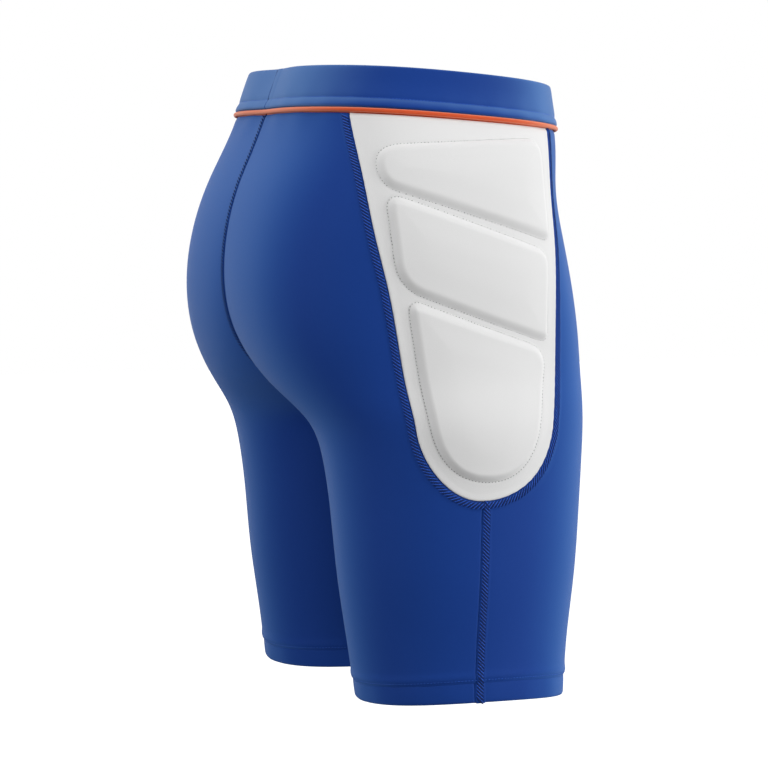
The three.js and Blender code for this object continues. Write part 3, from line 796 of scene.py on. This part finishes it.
def stitch_tree():
    """Geometry nodes that lay one thread on every point, along its direction and flat on the cloth."""
    inputs = (
        ("Points", "Geometry", None),
        ("Length", "Float", 0.002),
        ("Thread", "Float", 0.0004),
        ("Turn", "Float", 0.0),
        ("Unevenness", "Float", 0.1),
        ("Seed", "Int", 7),
        ("Material", "Material", None),
    )
    tree, source, sink = group_tree("Thread on each point", inputs, "Threads")
    thread = node(tree, "GeometryNodeMeshUVSphere", Segments=6, Rings=5, Radius=0.5)
    along = node(tree, "GeometryNodeInputNamedAttribute", data_type="FLOAT_VECTOR", Name="along")
    normal = node(tree, "GeometryNodeInputNamedAttribute", data_type="FLOAT_VECTOR", Name="upward")
    facing = node(tree, "FunctionNodeAxesToRotation", primary_axis="Z", secondary_axis="X")
    turn, size = tree.nodes.new("ShaderNodeCombineXYZ"), tree.nodes.new("ShaderNodeCombineXYZ")
    turned = node(tree, "FunctionNodeRotateRotation", rotation_space="LOCAL")
    euler = tree.nodes.new("FunctionNodeEulerToRotation")
    uneven = node(tree, "FunctionNodeRandomValue", data_type="FLOAT")
    low, high, long = (node(tree, "ShaderNodeMath", operation=kind) for kind in ("SUBTRACT", "ADD", "MULTIPLY"))
    low.inputs[0].default_value = high.inputs[0].default_value = 1.0
    laid = tree.nodes.new("GeometryNodeInstanceOnPoints")
    real = tree.nodes.new("GeometryNodeRealizeInstances")
    smooth = tree.nodes.new("GeometryNodeSetShadeSmooth")
    coloured = tree.nodes.new("GeometryNodeSetMaterial")
    least, most = [socket for socket in uneven.inputs if socket.type == "VALUE"][:2]
    tree.links.new(low.outputs["Value"], least)
    tree.links.new(high.outputs["Value"], most)
    tree.links.new(next(socket for socket in uneven.outputs if socket.type == "VALUE"), long.inputs[0])
    wire(
        tree,
        (normal, "Attribute", facing, "Primary Axis"),
        (along, "Attribute", facing, "Secondary Axis"),
        (source, "Turn", turn, "Z"),
        (turn, "Vector", euler, "Euler"),
        (facing, "Rotation", turned, "Rotation"),
        (euler, "Rotation", turned, "Rotate By"),
        (source, "Unevenness", low, 1),
        (source, "Unevenness", high, 1),
        (source, "Seed", uneven, "Seed"),
        (source, "Length", long, 1),
        (long, "Value", size, "X"),
        (source, "Thread", size, "Y"),
        (source, "Thread", size, "Z"),
        (source, "Points", laid, "Points"),
        (thread, "Mesh", laid, "Instance"),
        (turned, "Rotation", laid, "Rotation"),
        (size, "Vector", laid, "Scale"),
        (laid, "Instances", real, "Geometry"),
        (real, "Geometry", smooth, "Geometry"),
        (smooth, "Geometry", coloured, "Geometry"),
        (source, "Material", coloured, "Material"),
        (coloured, "Geometry", sink, "Threads"),
    )
    return tree


def cord_tree():
    """Geometry nodes that carry a round section along a path."""
    inputs = (("Path", "Geometry", None), ("Radius", "Float", None), ("Material", "Material", None))
    tree, source, sink = group_tree("Round cord on a path", inputs, "Cord")
    section = node(tree, "GeometryNodeCurvePrimitiveCircle", Resolution=16)
    cord = tree.nodes.new("GeometryNodeCurveToMesh")
    smooth = tree.nodes.new("GeometryNodeSetShadeSmooth")
    real = tree.nodes.new("GeometryNodeRealizeInstances")
    coloured = tree.nodes.new("GeometryNodeSetMaterial")
    wire(
        tree,
        (source, "Radius", section, "Radius"),
        (source, "Path", cord, "Curve"),
        (section, "Curve", cord, "Profile Curve"),
        (cord, "Mesh", smooth, "Geometry"),
        (smooth, "Geometry", real, "Geometry"),
        (real, "Geometry", coloured, "Geometry"),
        (source, "Material", coloured, "Material"),
        (coloured, "Geometry", sink, "Cord"),
    )
    return tree


def tree_result(piece, tree, values):
    """The plain mesh that a tree makes of a piece, with the tree's named inputs set."""
    modifier = piece.modifiers.new(tree.name, "NODES")
    modifier.node_group = tree
    for socket in tree.interface.items_tree:
        if socket.in_out == "INPUT" and socket.name in values:
            modifier[socket.identifier] = values[socket.name]
    mesh = bpy.data.meshes.new_from_object(piece.evaluated_get(bpy.context.evaluated_depsgraph_get()))
    piece.modifiers.remove(modifier)
    return mesh


def sew(name, rows, tree, material, side, slot):
    """One mesh of threads: each row holds its places, the stitch's length, its turn in degrees and its thickness."""
    parts = []
    mirror = np.array([side, 1, 1])
    for number, ((centre, along, upward), length, turn, thread) in enumerate(rows):
        mesh = bpy.data.meshes.new(f"{name}_{number}")
        mesh.from_pydata((centre * mirror).tolist(), [], [])
        for key, vectors in (("along", along), ("upward", upward)):
            attribute = mesh.attributes.new(key, "FLOAT_VECTOR", "POINT")
            attribute.data.foreach_set("vector", (vectors * mirror).astype(np.float32).ravel())
        part = add_object(f"{name}_{number}", mesh)
        values = {"Length": length, "Thread": thread, "Turn": math.radians(turn) * side, "Material": material}
        part.data = tree_result(part, tree, {**values, "Seed": 7 + number})
        parts.append(part)
    whole = parts[0]
    if len(parts) > 1:
        with bpy.context.temp_override(active_object=whole, selected_editable_objects=parts):
            bpy.ops.object.join()
    whole.name = whole.data.name = name
    put_on(whole, slot)


def knit_height(tree, uv, wale, course):
    """The relief of a plain knit: columns of V-shaped loops."""
    link = tree.links.new
    parts = tree.nodes.new("ShaderNodeSeparateXYZ")
    link(uv, parts.inputs[0])

    def maths(operation, first, second=None):
        made = node(tree, "ShaderNodeMath", operation=operation)
        for i, value in enumerate((first, second)):
            if value is None:
                continue
            if isinstance(value, (int, float)):
                made.inputs[i].default_value = value
            else:
                link(value, made.inputs[i])
        return made.outputs[0]

    across = maths("MULTIPLY", parts.outputs["X"], 1 / wale)
    leg = maths("ABSOLUTE", maths("SUBTRACT", maths("FRACT", across), 0.5))
    row = maths("ADD", maths("MULTIPLY", parts.outputs["Y"], 1 / course), leg)
    wave = maths("ADD", maths("MULTIPLY", maths("SINE", maths("MULTIPLY", row, 2 * math.pi)), 0.5), 0.5)
    flank = maths("SUBTRACT", 1.0, maths("ABSOLUTE", maths("SUBTRACT", maths("MULTIPLY", leg, 4.0), 1.0)))
    return maths("MULTIPLY", flank, maths("ADD", maths("MULTIPLY", wave, 0.5), 0.5))


def new_material(name, values):
    """A material, its node tree and its shader with some inputs set."""
    material = bpy.data.materials.new(name)
    material.use_nodes = True
    shader = material.node_tree.nodes["Principled BSDF"]
    for key, value in values.items():
        shader.inputs[key].default_value = value
    return material, material.node_tree, shader


def tinted(colour, share):
    """A colour made darker or lighter."""
    return tuple(min(1.0, c * share) for c in colour)


def cloth_material(name, colour, sheen_colour, painted_sheen_slants, sheen, roughness, variation, relief):
    """A knitted cloth: uneven dye, a painted sheen that turns the base colour toward the sheen colour between two
    slants to the view, painted shade where the knit's loops lie low, a fine relief.
    """
    values = {"Roughness": roughness, "Specular IOR Level": 0.06, "Sheen Weight": sheen, "Sheen Roughness": 0.5}
    material, tree, shader = new_material(name, {**values, "Sheen Tint": (*sheen_colour, 1.0)})
    uv = node(tree, "ShaderNodeUVMap", uv_map="cloth")
    loops = knit_height(tree, uv.outputs["UV"], WALE, COURSE)
    place = tree.nodes.new("ShaderNodeTexCoord")
    broad = node(tree, "ShaderNodeTexNoise", Scale=9.0, Detail=3.0, Roughness=0.5)
    fine = node(tree, "ShaderNodeTexNoise", Scale=420.0, Detail=2.0, Roughness=0.6)
    ripple = node(tree, "ShaderNodeTexNoise", Scale=60.0, Detail=2.0)
    dark, light = tinted(colour, 1 - variation), tinted(colour, 1 + variation)
    dye = node(tree, "ShaderNodeMix", data_type="RGBA", A=(*dark, 1), B=(*light, 1))
    share = node(tree, "ShaderNodeMath", operation="MULTIPLY")
    share.inputs[1].default_value = 0.65
    mixed = node(tree, "ShaderNodeMath", operation="MULTIPLY_ADD")
    mixed.inputs[1].default_value = 0.35
    # painted shade: the dye is darkened by up to 16 percent where the knit's loops lie low
    shade = node(tree, "ShaderNodeMix", data_type="RGBA", blend_type="MULTIPLY", Factor=0.16)
    # painted sheen: the base colour turns toward the sheen colour where the surface faces away from the view
    angle = node(tree, "ShaderNodeLayerWeight", Blend=0.5)
    slant = node(tree, "ShaderNodeMapRange", interpolation_type="SMOOTHSTEP")
    slant.inputs["From Min"].default_value, slant.inputs["From Max"].default_value = painted_sheen_slants
    painted_sheen = node(tree, "ShaderNodeMix", data_type="RGBA", B=(*sheen_colour, 1))
    bump = node(tree, "ShaderNodeBump", Strength=relief, Distance=0.06 * MM)
    soft = node(tree, "ShaderNodeBump", Strength=0.12, Distance=0.4 * MM)
    tree.links.new(loops, shade.inputs["B"])
    tree.links.new(loops, bump.inputs["Height"])
    wire(
        tree,
        (place, "Object", broad, "Vector"),
        (place, "Object", fine, "Vector"),
        (place, "Object", ripple, "Vector"),
        (fine, "Fac", mixed, 0),
        (broad, "Fac", share, 0),
        (share, 0, mixed, 2),
        (mixed, 0, dye, "Factor"),
        (dye, "Result", shade, "A"),
        (angle, "Facing", slant, "Value"),
        (slant, "Result", painted_sheen, "Factor"),
        (shade, "Result", painted_sheen, "A"),
        (painted_sheen, "Result", shader, "Base Color"),
        (ripple, "Fac", soft, "Height"),
        (soft, "Normal", bump, "Normal"),
        (bump, "Normal", shader, "Normal"),
    )
    return material


def thread_material(name, colour, roughness=0.5, sheen=0.2):
    """Twisted thread: fine bands of lighter and darker fibre."""
    values = {"Roughness": roughness, "Specular IOR Level": 0.2, "Sheen Weight": sheen}
    material, tree, shader = new_material(name, values)
    place = tree.nodes.new("ShaderNodeTexCoord")
    twist = node(tree, "ShaderNodeTexWave", Scale=900.0, Distortion=1.5)
    dark, light = tinted(colour, 0.75), tinted(colour, 1.2)
    fibres = node(tree, "ShaderNodeMix", data_type="RGBA", A=(*dark, 1), B=(*light, 1))
    wire(
        tree,
        (place, "Object", twist, "Vector"),
        (twist, "Fac", fibres, "Factor"),
        (fibres, "Result", shader, "Base Color"),
    )
    return material


def foam_material(name, colour):
    """Closed-cell foam: small cells and a slightly uneven tone."""
    material, tree, shader = new_material(name, {"Roughness": 0.85, "Specular IOR Level": 0.25})
    place = tree.nodes.new("ShaderNodeTexCoord")
    cells = node(tree, "ShaderNodeTexVoronoi", Scale=900.0)
    tone = node(tree, "ShaderNodeMix", data_type="RGBA", A=(*tinted(colour, 0.86), 1), B=(*colour, 1))
    bump = node(tree, "ShaderNodeBump", Strength=0.4, Distance=0.2 * MM)
    wire(
        tree,
        (place, "Object", cells, "Vector"),
        (cells, "Distance", tone, "Factor"),
        (cells, "Distance", bump, "Height"),
        (tone, "Result", shader, "Base Color"),
        (bump, "Normal", shader, "Normal"),
    )
    return material


def cloth_named(name, finishes):
    """The cloth, thread or foam of that name, made once."""
    found = bpy.data.materials.get(name)
    if found:
        return found
    blue, white, orange = tuple(finishes.blue), tuple(finishes.white), tuple(finishes.orange)
    sheen = tuple(finishes.blue_sheen)
    # Cloths have a colour, a sheen colour that is also painted into the base colour at a slant, two slants for that
    # painted sheen, sheen, roughness, unevenness and relief, threads a colour, roughness and sheen
    kinds = {
        "blue_cloth": (cloth_material, blue, sheen, (0.15, 0.8), 0.07, 0.6, 0.1, 0.25),
        "band_cloth": (cloth_material, blue, BAND_SHEEN, (0.03, 0.68), 0.05, 0.6, 0.1, 0.25),
        "white_cloth": (cloth_material, white, white, (0.2, 0.8), 0.1, 0.6, 0.02, 0.2),
        "orange_cloth": (cloth_material, orange, ORANGE_SHEEN, (0.1, 0.7), 0.1, 0.55, 0.1, 0.3),
        # painted sheen: this thread is the knit's blue made 2.3 times lighter, standing for the light on the thread
        # tops
        "blue_thread": (thread_material, tinted(blue, 2.3), 0.5, 0.1),
        # painted shade: the knit's blue darkened to 0.3 for the seams' grooves and the waistband's join
        "shaded_thread": (thread_material, tinted(blue, 0.3), 0.8, 0.0),
        # painted shade: the knit's blue darkened for the flatlock's gaps
        "sunken_thread": (thread_material, tinted(blue, 0.42), 0.8, 0.0),
        "white_thread": (thread_material, WHITE_THREAD),
        "needle_hole": (thread_material, HOLE_SHADE, 0.9, 0.0),
        "soft_foam": (foam_material, tuple(finishes.foam)),
    }
    make, *values = kinds[name]
    return make(name, *values)


class SHORTS_OT_leg_panels(bpy.types.Operator):
    """Makes the blue front and back panels of both legs"""

    bl_idname = "shorts.leg_panels"
    bl_label = "Leg panels"

    def execute(self, context):
        scene = context.scene
        form = WornForm(scene.shorts_sizes)
        blue = cloth_named("blue_cloth", scene.shorts_finishes)
        for toward, name in ((BACK, "back_panel"), (FRONT, "front_panel")):
            grids = leg_panel_grid(form, toward, scene.shorts_stitches)
            make_sheets(name, grids, blue, 50, "blue_knit")
        return {"FINISHED"}


class SHORTS_OT_side_panels(bpy.types.Operator):
    """Makes the white side panels with their moulded fields"""

    bl_idname = "shorts.side_panels"
    bl_label = "Side panels"

    def execute(self, context):
        scene = context.scene
        grids = side_panel_grid(WornForm(scene.shorts_sizes), scene.shorts_pads)
        white = cloth_named("white_cloth", scene.shorts_finishes)
        make_sheets("side_panel", grids, white, 60, "white_knit")
        return {"FINISHED"}


class SHORTS_OT_hip_pads(bpy.types.Operator):
    """Makes the foam pads under the side panels"""

    bl_idname = "shorts.hip_pads"
    bl_label = "Hip pads"

    def execute(self, context):
        scene = context.scene
        form = WornForm(scene.shorts_sizes)
        material = cloth_named("soft_foam", scene.shorts_finishes)
        for name in PADS:
            top, bottom = pad_block(form, scene.shorts_pads, name)
            rings, around = top.shape[:2]
            points = np.concatenate([top.reshape(-1, 3), bottom.reshape(-1, 3)])
            faces = polar_faces(rings, around)
            for side, sign in SIDES.items():
                node_name = f"hip_pad_{name}_{side}"
                piece = make_piece(f"foam_{node_name}", points, faces, material, sign, weld=WELD)
                put_on(piece, "pad_foam", node_name)
        return {"FINISHED"}


class SHORTS_OT_waistband(bpy.types.Operator):
    """Makes the doubled waistband and the piping under it"""

    bl_idname = "shorts.waistband"
    bl_label = "Waistband"

    def execute(self, context):
        scene = context.scene
        form = WornForm(scene.shorts_sizes)
        profile = band_profile(form)
        girth = scene.shorts_sizes.waist[0] * math.pi * WAIST_ROUND
        near_join = 0.5 + np.arange(-15, 3, 0.35) * MM / girth
        shares = np.concatenate([even_shares(form, 0.0, 360), near_join])
        shares = np.sort(np.append(shares[np.abs(shares - 0.5) > 1e-6], 0.5))
        stations = len(shares)
        drops = np.broadcast_to(profile[:, 0], (stations, len(profile)))
        path = waist_point(form, shares, np.zeros(stations), np.zeros(stations))
        beside_join = np.where(path[:, 1] > 0, path[:, 0], 1.0)[:, None]
        below_top = (drops - form.band_top) / scene.shorts_sizes.band_height
        ripple = 0.12 * MM * np.sin(shares * 211)[:, None] * smoothstep(0.3, 0.9, below_top)
        outside = profile[:, 1] > -0.3 * MM
        doubled = smoothstep(-12 * MM, -7 * MM, beside_join) * (1 - smoothstep(-1.2 * MM, -0.5 * MM, beside_join))
        dent = seam_dip(beside_join, 1.2 * MM, 0.6 * MM) + 0.35 * MM * doubled
        proud = profile[:, 1] + outside * (dent + ripple)
        points = waist_point(form, shares[:, None], drops, proud)
        length = loop_length(path)
        uv = profile_uv(stations, profile, length)
        cloth = cloth_named("band_cloth", scene.shorts_finishes)
        band = make_piece("knit_waistband", points, ring_faces(stations, len(profile)), cloth, 1.0, uv)
        put_on(band, "blue_knit", "waistband")
        orange = cloth_named("orange_cloth", scene.shorts_finishes)
        self.lay_tape(form, orange, self.lay_piping(scene, form, orange))
        return {"FINISHED"}

    def lay_piping(self, scene, form, orange):
        """The piping's cord, and how long it is."""
        count = 480
        shares = even_shares(form, form.piping_middle, count)
        points = waist_point(form, shares, np.full(count, form.piping_middle), np.full(count, 1.1 * MM))
        curve = bpy.data.curves.new("piping_path", "CURVE")
        curve.dimensions = "3D"
        spline = curve.splines.new("POLY")
        spline.points.add(count - 1)
        spline.points.foreach_set("co", np.c_[points, np.ones(count)].astype(np.float32).ravel())
        spline.use_cyclic_u = True
        path = add_object("piping_path", curve)
        values = {"Radius": scene.shorts_sizes.piping_height * 0.53, "Material": orange}
        mesh = tree_result(path, cord_tree(), values)
        piping = add_object("piping", mesh)
        bpy.data.objects.remove(path)
        length = loop_length(points)
        along = np.linspace(0, length, count, endpoint=False)
        around = np.linspace(0, PIPING_ROUND, len(mesh.vertices) // count, endpoint=False)
        set_uv(mesh, np.stack(np.meshgrid(along, around, indexing="ij"), -1))
        put_on(piping, "orange_piping", "waist_piping")
        return length

    def lay_tape(self, form, orange, length):
        """The piping's tape, sewn inside over the joint of the waistband and the panels."""
        stations, lap = 360, 3.0 * MM
        above, below = form.band_bottom - lap, form.panel_top + lap
        near, far = -1.25 * MM, -1.75 * MM
        profile = np.array([(above, near), (below, near), (below, far), (above, far)])
        shares = even_shares(form, form.piping_middle, stations)
        drops = np.broadcast_to(profile[:, 0], (stations, len(profile)))
        points = waist_point(form, shares[:, None], drops, profile[:, 1])
        uv = profile_uv(stations, profile, length)
        tape = make_piece("piping_tape", points, ring_faces(stations, len(profile)), orange, 1.0, uv)
        sharpen(tape, 50)
        put_on(tape, "orange_piping")


class SHORTS_OT_leg_hems(bpy.types.Operator):
    """Makes the turned hem of each leg"""

    bl_idname = "shorts.leg_hems"
    bl_label = "Leg hems"

    def execute(self, context):
        scene = context.scene
        form = WornForm(scene.shorts_sizes)
        profile = hem_profile(form)
        seam = float(form.side_angle(np.array([form.seam_y]), np.array([form.hem_bottom]))[0])
        reach = scene.shorts_sizes.opening[0] / 2
        near_seam = seam - np.arange(-3, 10, 0.4) * MM / reach
        angles = np.sort(np.concatenate([np.linspace(-np.pi, np.pi, 220, endpoint=False), near_seam]))
        stations = len(angles)
        before_seam = ((seam - angles) * reach)[:, None]
        outside = profile[:, 1] > -1.6 * MM
        flat = flatlock_ridge(before_seam, scene.shorts_stitches.flatlock_width)
        ripple = 0.1 * MM * np.sin(angles * 17)[:, None]
        proud = profile[:, 1] + outside * (ripple + flat + seam_dip(before_seam, 0.6 * MM, 0.6 * MM))
        drops = np.broadcast_to(profile[:, 0], proud.shape)
        drops = drops + 1.6 * flat * smoothstep(form.hem_bottom - 3 * MM, form.hem_bottom - 1 * MM, drops)
        points = form.cloth(np.broadcast_to(angles[:, None], proud.shape), drops, proud)
        length = loop_length(points[:, 5])
        uv = profile_uv(stations, profile, length)
        faces = ring_faces(stations, len(profile))
        blue = cloth_named("blue_cloth", scene.shorts_finishes)
        for side, sign in SIDES.items():
            hem = make_piece(f"knit_leg_hem_{side}", points, faces, blue, sign, uv)
            put_on(hem, "blue_knit", f"leg_hem_{side}")
        return {"FINISHED"}


class SHORTS_OT_stitches(bpy.types.Operator):
    """Sews the flatlock seams, the centre seam, the hems, the waistband and the pads' outlines"""

    bl_idname = "shorts.stitches"
    bl_label = "Stitches"

    def execute(self, context):
        scene = context.scene
        form = WornForm(scene.shorts_sizes)
        sizes = scene.shorts_stitches
        names = ("blue_thread", "white_thread", "needle_hole", "shaded_thread", "sunken_thread")
        blue, white, hole_shade, seam_shade, gap_shade = (cloth_named(name, scene.shorts_finishes) for name in names)
        tree = stitch_tree()
        paths = seam_paths(form)
        for side, sign in SIDES.items():
            threads, gap_shades = self.flatlock_rows(form, sizes, paths)
            sew(f"flatlock_{side}", threads, tree, blue, sign, "blue_knit")
            sew(f"flatlock_gaps_{side}", gap_shades, tree, gap_shade, sign, "blue_knit")
            rows = self.overlock_rows(form, sizes, paths, side == LEFT)
            sew(f"overlock_{side}", rows, tree, seam_shade, sign, "blue_knit")
            around = np.linspace(-np.pi, np.pi, 600)
            height = np.full(around.shape, form.hem_top - 2.2 * MM)
            line = stitch_places(form, around, height, sizes.line_pitch, 0.0, 0.08 * MM)
            rows = [(line, sizes.line_pitch * 0.7, 0, sizes.thread * 0.8)]
            sew(f"hem_stitches_{side}", rows, tree, blue, sign, "blue_knit")
            threads, hole_shades = self.pad_rows(form, sizes)
            sew(f"pad_stitches_{side}", threads, tree, white, sign, "white_knit")
            sew(f"needle_holes_{side}", hole_shades, tree, hole_shade, sign, "white_knit")
        self.sew_fold(form, sizes, tree, blue)
        self.sew_join(form, sizes, tree, seam_shade)
        return {"FINISHED"}

    def flatlock_rows(self, form, sizes, paths):
        """Threads of the flatlock seams beside the side panel and the side seam, and dark threads between them,
        painted as the shade in their gaps.
        """
        width, thread = sizes.flatlock_width, sizes.thread
        threads, gap_shades = [], []
        for key, beside in (("outline", -1.0), ("side", 1.0)):
            seam = (form, *paths[key], sizes.flatlock_pitch, beside * (width / 2 + 0.7 * MM))
            threads.append((stitch_places(*seam, 0.3 * MM), width * 1.45, 45, thread * 1.7))
            # painted shade: dark threads half a pitch along stand for the shade between the light threads
            gap_shades.append((stitch_places(*seam, 0.2 * MM, 1.0), width * 1.4, 45, thread * 3.8))
        return threads, gap_shades

    def overlock_rows(self, form, sizes, paths, ticked):
        """Two lines of dark threads in each centre seam and inseam, one deeper, and short dark threads beside them,
        painted as the shade in the seams' grooves.
        """
        pitch, thread = sizes.overlock_pitch, sizes.thread
        rows = []
        for key in ("back", "front", "inseam"):
            between = key != "inseam"
            line = stitch_places(form, *paths[key], pitch, 0.0, -0.85 * MM, 0.5, between)
            deeper = stitch_places(form, *paths[key], pitch, 0.0, -1.5 * MM, 1.0, between)
            rows += [(line, pitch * 2.4, 0, thread * 2.4), (deeper, pitch * 2.6, 0, thread * 3.2)]
            if ticked:
                ticks = stitch_places(form, *paths[key], pitch * 1.1, 2.6 * MM, 0.35 * MM)
                rows.append((ticks, 5.4 * MM, -62, thread * 2.2))
        return rows

    def pad_rows(self, form, sizes):
        """Stitches on the pads' outlines and dark dots between them, painted as the shade in the needle holes."""
        threads, hole_shades = [], []
        for name in PADS:
            outline = form.pad_outline(name, 1.0 * MM)
            outline = np.concatenate([outline, outline[:1]])
            angles = form.side_angle(outline[:, 0], outline[:, 1])
            line = stitch_places(form, angles, outline[:, 1], sizes.line_pitch, 0.0, 0.12 * MM)
            threads.append((line, sizes.line_pitch * 0.62, 0, sizes.thread))
            centre, along, upward = line
            between = (centre + np.roll(centre, -1, axis=0)) / 2
            # painted shade: a flat dark dot between each two stitches stands for the shade in a needle hole
            hole_shades.append(((between + upward * 0.02 * MM, along, upward), 1.05 * MM, 0, 0.72 * MM))
        return threads, hole_shades

    def band_places(self, form, shares, drops, proud):
        """Centres, directions and normals of stitches on the waistband."""
        centre = waist_point(form, shares, drops, np.full(shares.shape, proud))
        upward = waist_point(form, shares, drops, np.full(shares.shape, proud + MM)) - centre
        upward /= np.linalg.norm(upward, axis=1, keepdims=True)
        along, _ = path_frame(centre, upward)
        return centre, along, upward

    def sew_fold(self, form, sizes, tree, material):
        shares, height, proud = even_shares(form, 0.0, 2400), form.band_bottom - FOLD_HEIGHT, 1.1 * MM
        points = waist_point(form, shares, np.full(shares.shape, height), np.full(shares.shape, proud))
        count = int(np.linalg.norm(np.diff(points, axis=0), axis=1).sum() / sizes.line_pitch)
        picked = shares[np.linspace(0, len(points) - 1, count).astype(int)]
        places = self.band_places(form, picked, np.full(picked.shape, height), proud)
        rows = [(places, sizes.line_pitch * 0.75, 0, sizes.thread * 0.8)]
        sew("waistband_stitches", rows, tree, material, 1.0, "blue_knit")

    def sew_join(self, form, sizes, tree, material):
        # painted shade: dark threads down the waistband's join at the back stand for the shade in the join
        drops = np.arange(form.band_top + 3.0 * MM, form.band_bottom - 3.0 * MM, sizes.line_pitch)
        places = self.band_places(form, np.full(drops.shape, 0.5), drops, 1.2 * MM)
        rows = [(places, sizes.line_pitch * 1.3, 0, sizes.thread * 2.0)]
        sew("waistband_join_stitches", rows, tree, material, 1.0, "blue_knit")


class SHORTS_OT_studio(bpy.types.Operator):
    """Makes the floor, the lights and the camera"""

    bl_idname = "shorts.studio"
    bl_label = "Studio"

    def execute(self, context):
        scene = context.scene
        studio = scene.shorts_studio
        turn, tilt = math.radians(studio.azimuth), math.radians(studio.elevation)
        away = Vector((-math.sin(turn) * math.cos(tilt), math.cos(turn) * math.cos(tilt), math.sin(tilt)))
        right = Vector((-math.cos(turn), -math.sin(turn), 0.0))
        aim = right * studio.aim_side + Vector((0, 0, studio.aim_height))
        self.add_floor(studio)
        self.add_world(scene, studio)
        nearer = Vector((away.x, away.y, 0)).normalized()
        # Degrees round from the camera, height and distance from the aim, width and height in metres, and watts
        lights = (
            ("left_light", -60, 0.35, 1.6, 1.0, 1.8, studio.left_light),
            ("right_light", 60, 0.1, 1.6, 1.0, 1.8, studio.right_light),
            ("top_light", 0, 1.5, 0.3, 1.6, 1.6, studio.top_light),
            ("high_front_light", 0, 1.5, 1.3, 1.2, 1.2, studio.front_light),
            ("far_left_light", -145, 0.3, 1.6, 1.0, 1.8, studio.far_light),
            ("far_right_light", 145, 0.1, 1.6, 1.0, 1.8, studio.far_light),
        )
        for name, turned, height, distance, width, tall, watts in lights:
            angle = math.radians(turned)
            level = (nearer * math.cos(angle) + right * math.sin(angle)) * distance
            self.add_light(name, aim + level + Vector((0, 0, height)), aim, width, tall, watts)
        camera = add_object("camera", bpy.data.cameras.new("camera"))
        camera.data.lens = studio.lens
        camera.data.sensor_width = 36.0
        camera.data.clip_end = 60.0
        camera.location = aim + away * studio.distance
        camera.rotation_euler = (-away).to_track_quat("-Z", "Y").to_euler()
        scene.camera = camera
        scene.view_settings.view_transform = "Standard"
        return {"FINISHED"}

    def add_floor(self, studio):
        """A floor as white as the room, which doesn't light the shorts."""
        half = 12.0
        mesh = bpy.data.meshes.new("floor")
        corners = [(-half, -half), (half, -half), (half, half), (-half, half)]
        mesh.from_pydata([(x, y, studio.floor) for x, y in corners], [], [(0, 1, 2, 3)])
        values = {"Base Color": (0.97, 0.97, 0.97, 1), "Roughness": 0.9, "Specular IOR Level": 0.0}
        glow = {"Emission Color": (1, 1, 1, 1), "Emission Strength": 1.0}
        material, _, _ = new_material("pale_floor", {**values, **glow})
        mesh.materials.append(material)
        floor = add_object("floor", mesh)
        floor.visible_diffuse = floor.visible_glossy = False

    def add_world(self, scene, studio):
        world = scene.world or bpy.data.worlds.new("room")
        scene.world = world
        world.use_nodes = True
        tree = world.node_tree
        background = next(n for n in tree.nodes if n.type == "BACKGROUND")
        background.inputs["Color"].default_value = (1, 1, 1, 1)
        paths = tree.nodes.new("ShaderNodeLightPath")
        strength = node(tree, "ShaderNodeMapRange", **{"To Min": studio.world, "To Max": 1.0})
        wire(tree, (paths, "Is Camera Ray", strength, "Value"), (strength, "Result", background, "Strength"))

    def add_light(self, name, place, aim, width, height, watts):
        light = bpy.data.lights.new(name, "AREA")
        light.shape = "RECTANGLE"
        light.size, light.size_y = width, height
        light.energy = watts
        lamp = add_object(name, light)
        lamp.location = place
        lamp.rotation_euler = (aim - place).to_track_quat("-Z", "Y").to_euler()


GROUPS = {
    "shorts_sizes": ShortsSizes,
    "shorts_pads": PadSizes,
    "shorts_stitches": StitchSizes,
    "shorts_finishes": Finishes,
    "shorts_studio": StudioSettings,
}
OPERATORS = (
    SHORTS_OT_studio,
    SHORTS_OT_leg_panels,
    SHORTS_OT_side_panels,
    SHORTS_OT_hip_pads,
    SHORTS_OT_waistband,
    SHORTS_OT_leg_hems,
    SHORTS_OT_stitches,
)


class SHORTS_PT_pieces(bpy.types.Panel):
    """The shorts' sizes and the buttons that make their pieces"""

    bl_idname = "SHORTS_PT_pieces"
    bl_label = "Sliding Shorts"
    bl_space_type = "VIEW_3D"
    bl_region_type = "UI"
    bl_category = "Shorts"

    def draw(self, context):
        for key, group in GROUPS.items():
            box = self.layout.box()
            for name in group.__annotations__:
                box.prop(getattr(context.scene, key), name)
        for operator in OPERATORS:
            self.layout.operator(operator.bl_idname)


def register():
    for group in GROUPS.values():
        bpy.utils.register_class(group)
    for key, group in GROUPS.items():
        setattr(bpy.types.Scene, key, bpy.props.PointerProperty(type=group))
    for operator in OPERATORS:
        bpy.utils.register_class(operator)
    bpy.utils.register_class(SHORTS_PT_pieces)


def unregister():
    bpy.utils.unregister_class(SHORTS_PT_pieces)
    for operator in reversed(OPERATORS):
        bpy.utils.unregister_class(operator)
    for key in GROUPS:
        delattr(bpy.types.Scene, key)
    for group in reversed(tuple(GROUPS.values())):
        bpy.utils.unregister_class(group)


def main():
    register()
    for operator in OPERATORS:
        family, name = operator.bl_idname.split(".")
        getattr(getattr(bpy.ops, family), name)()


if __name__ == "__main__":
    main()
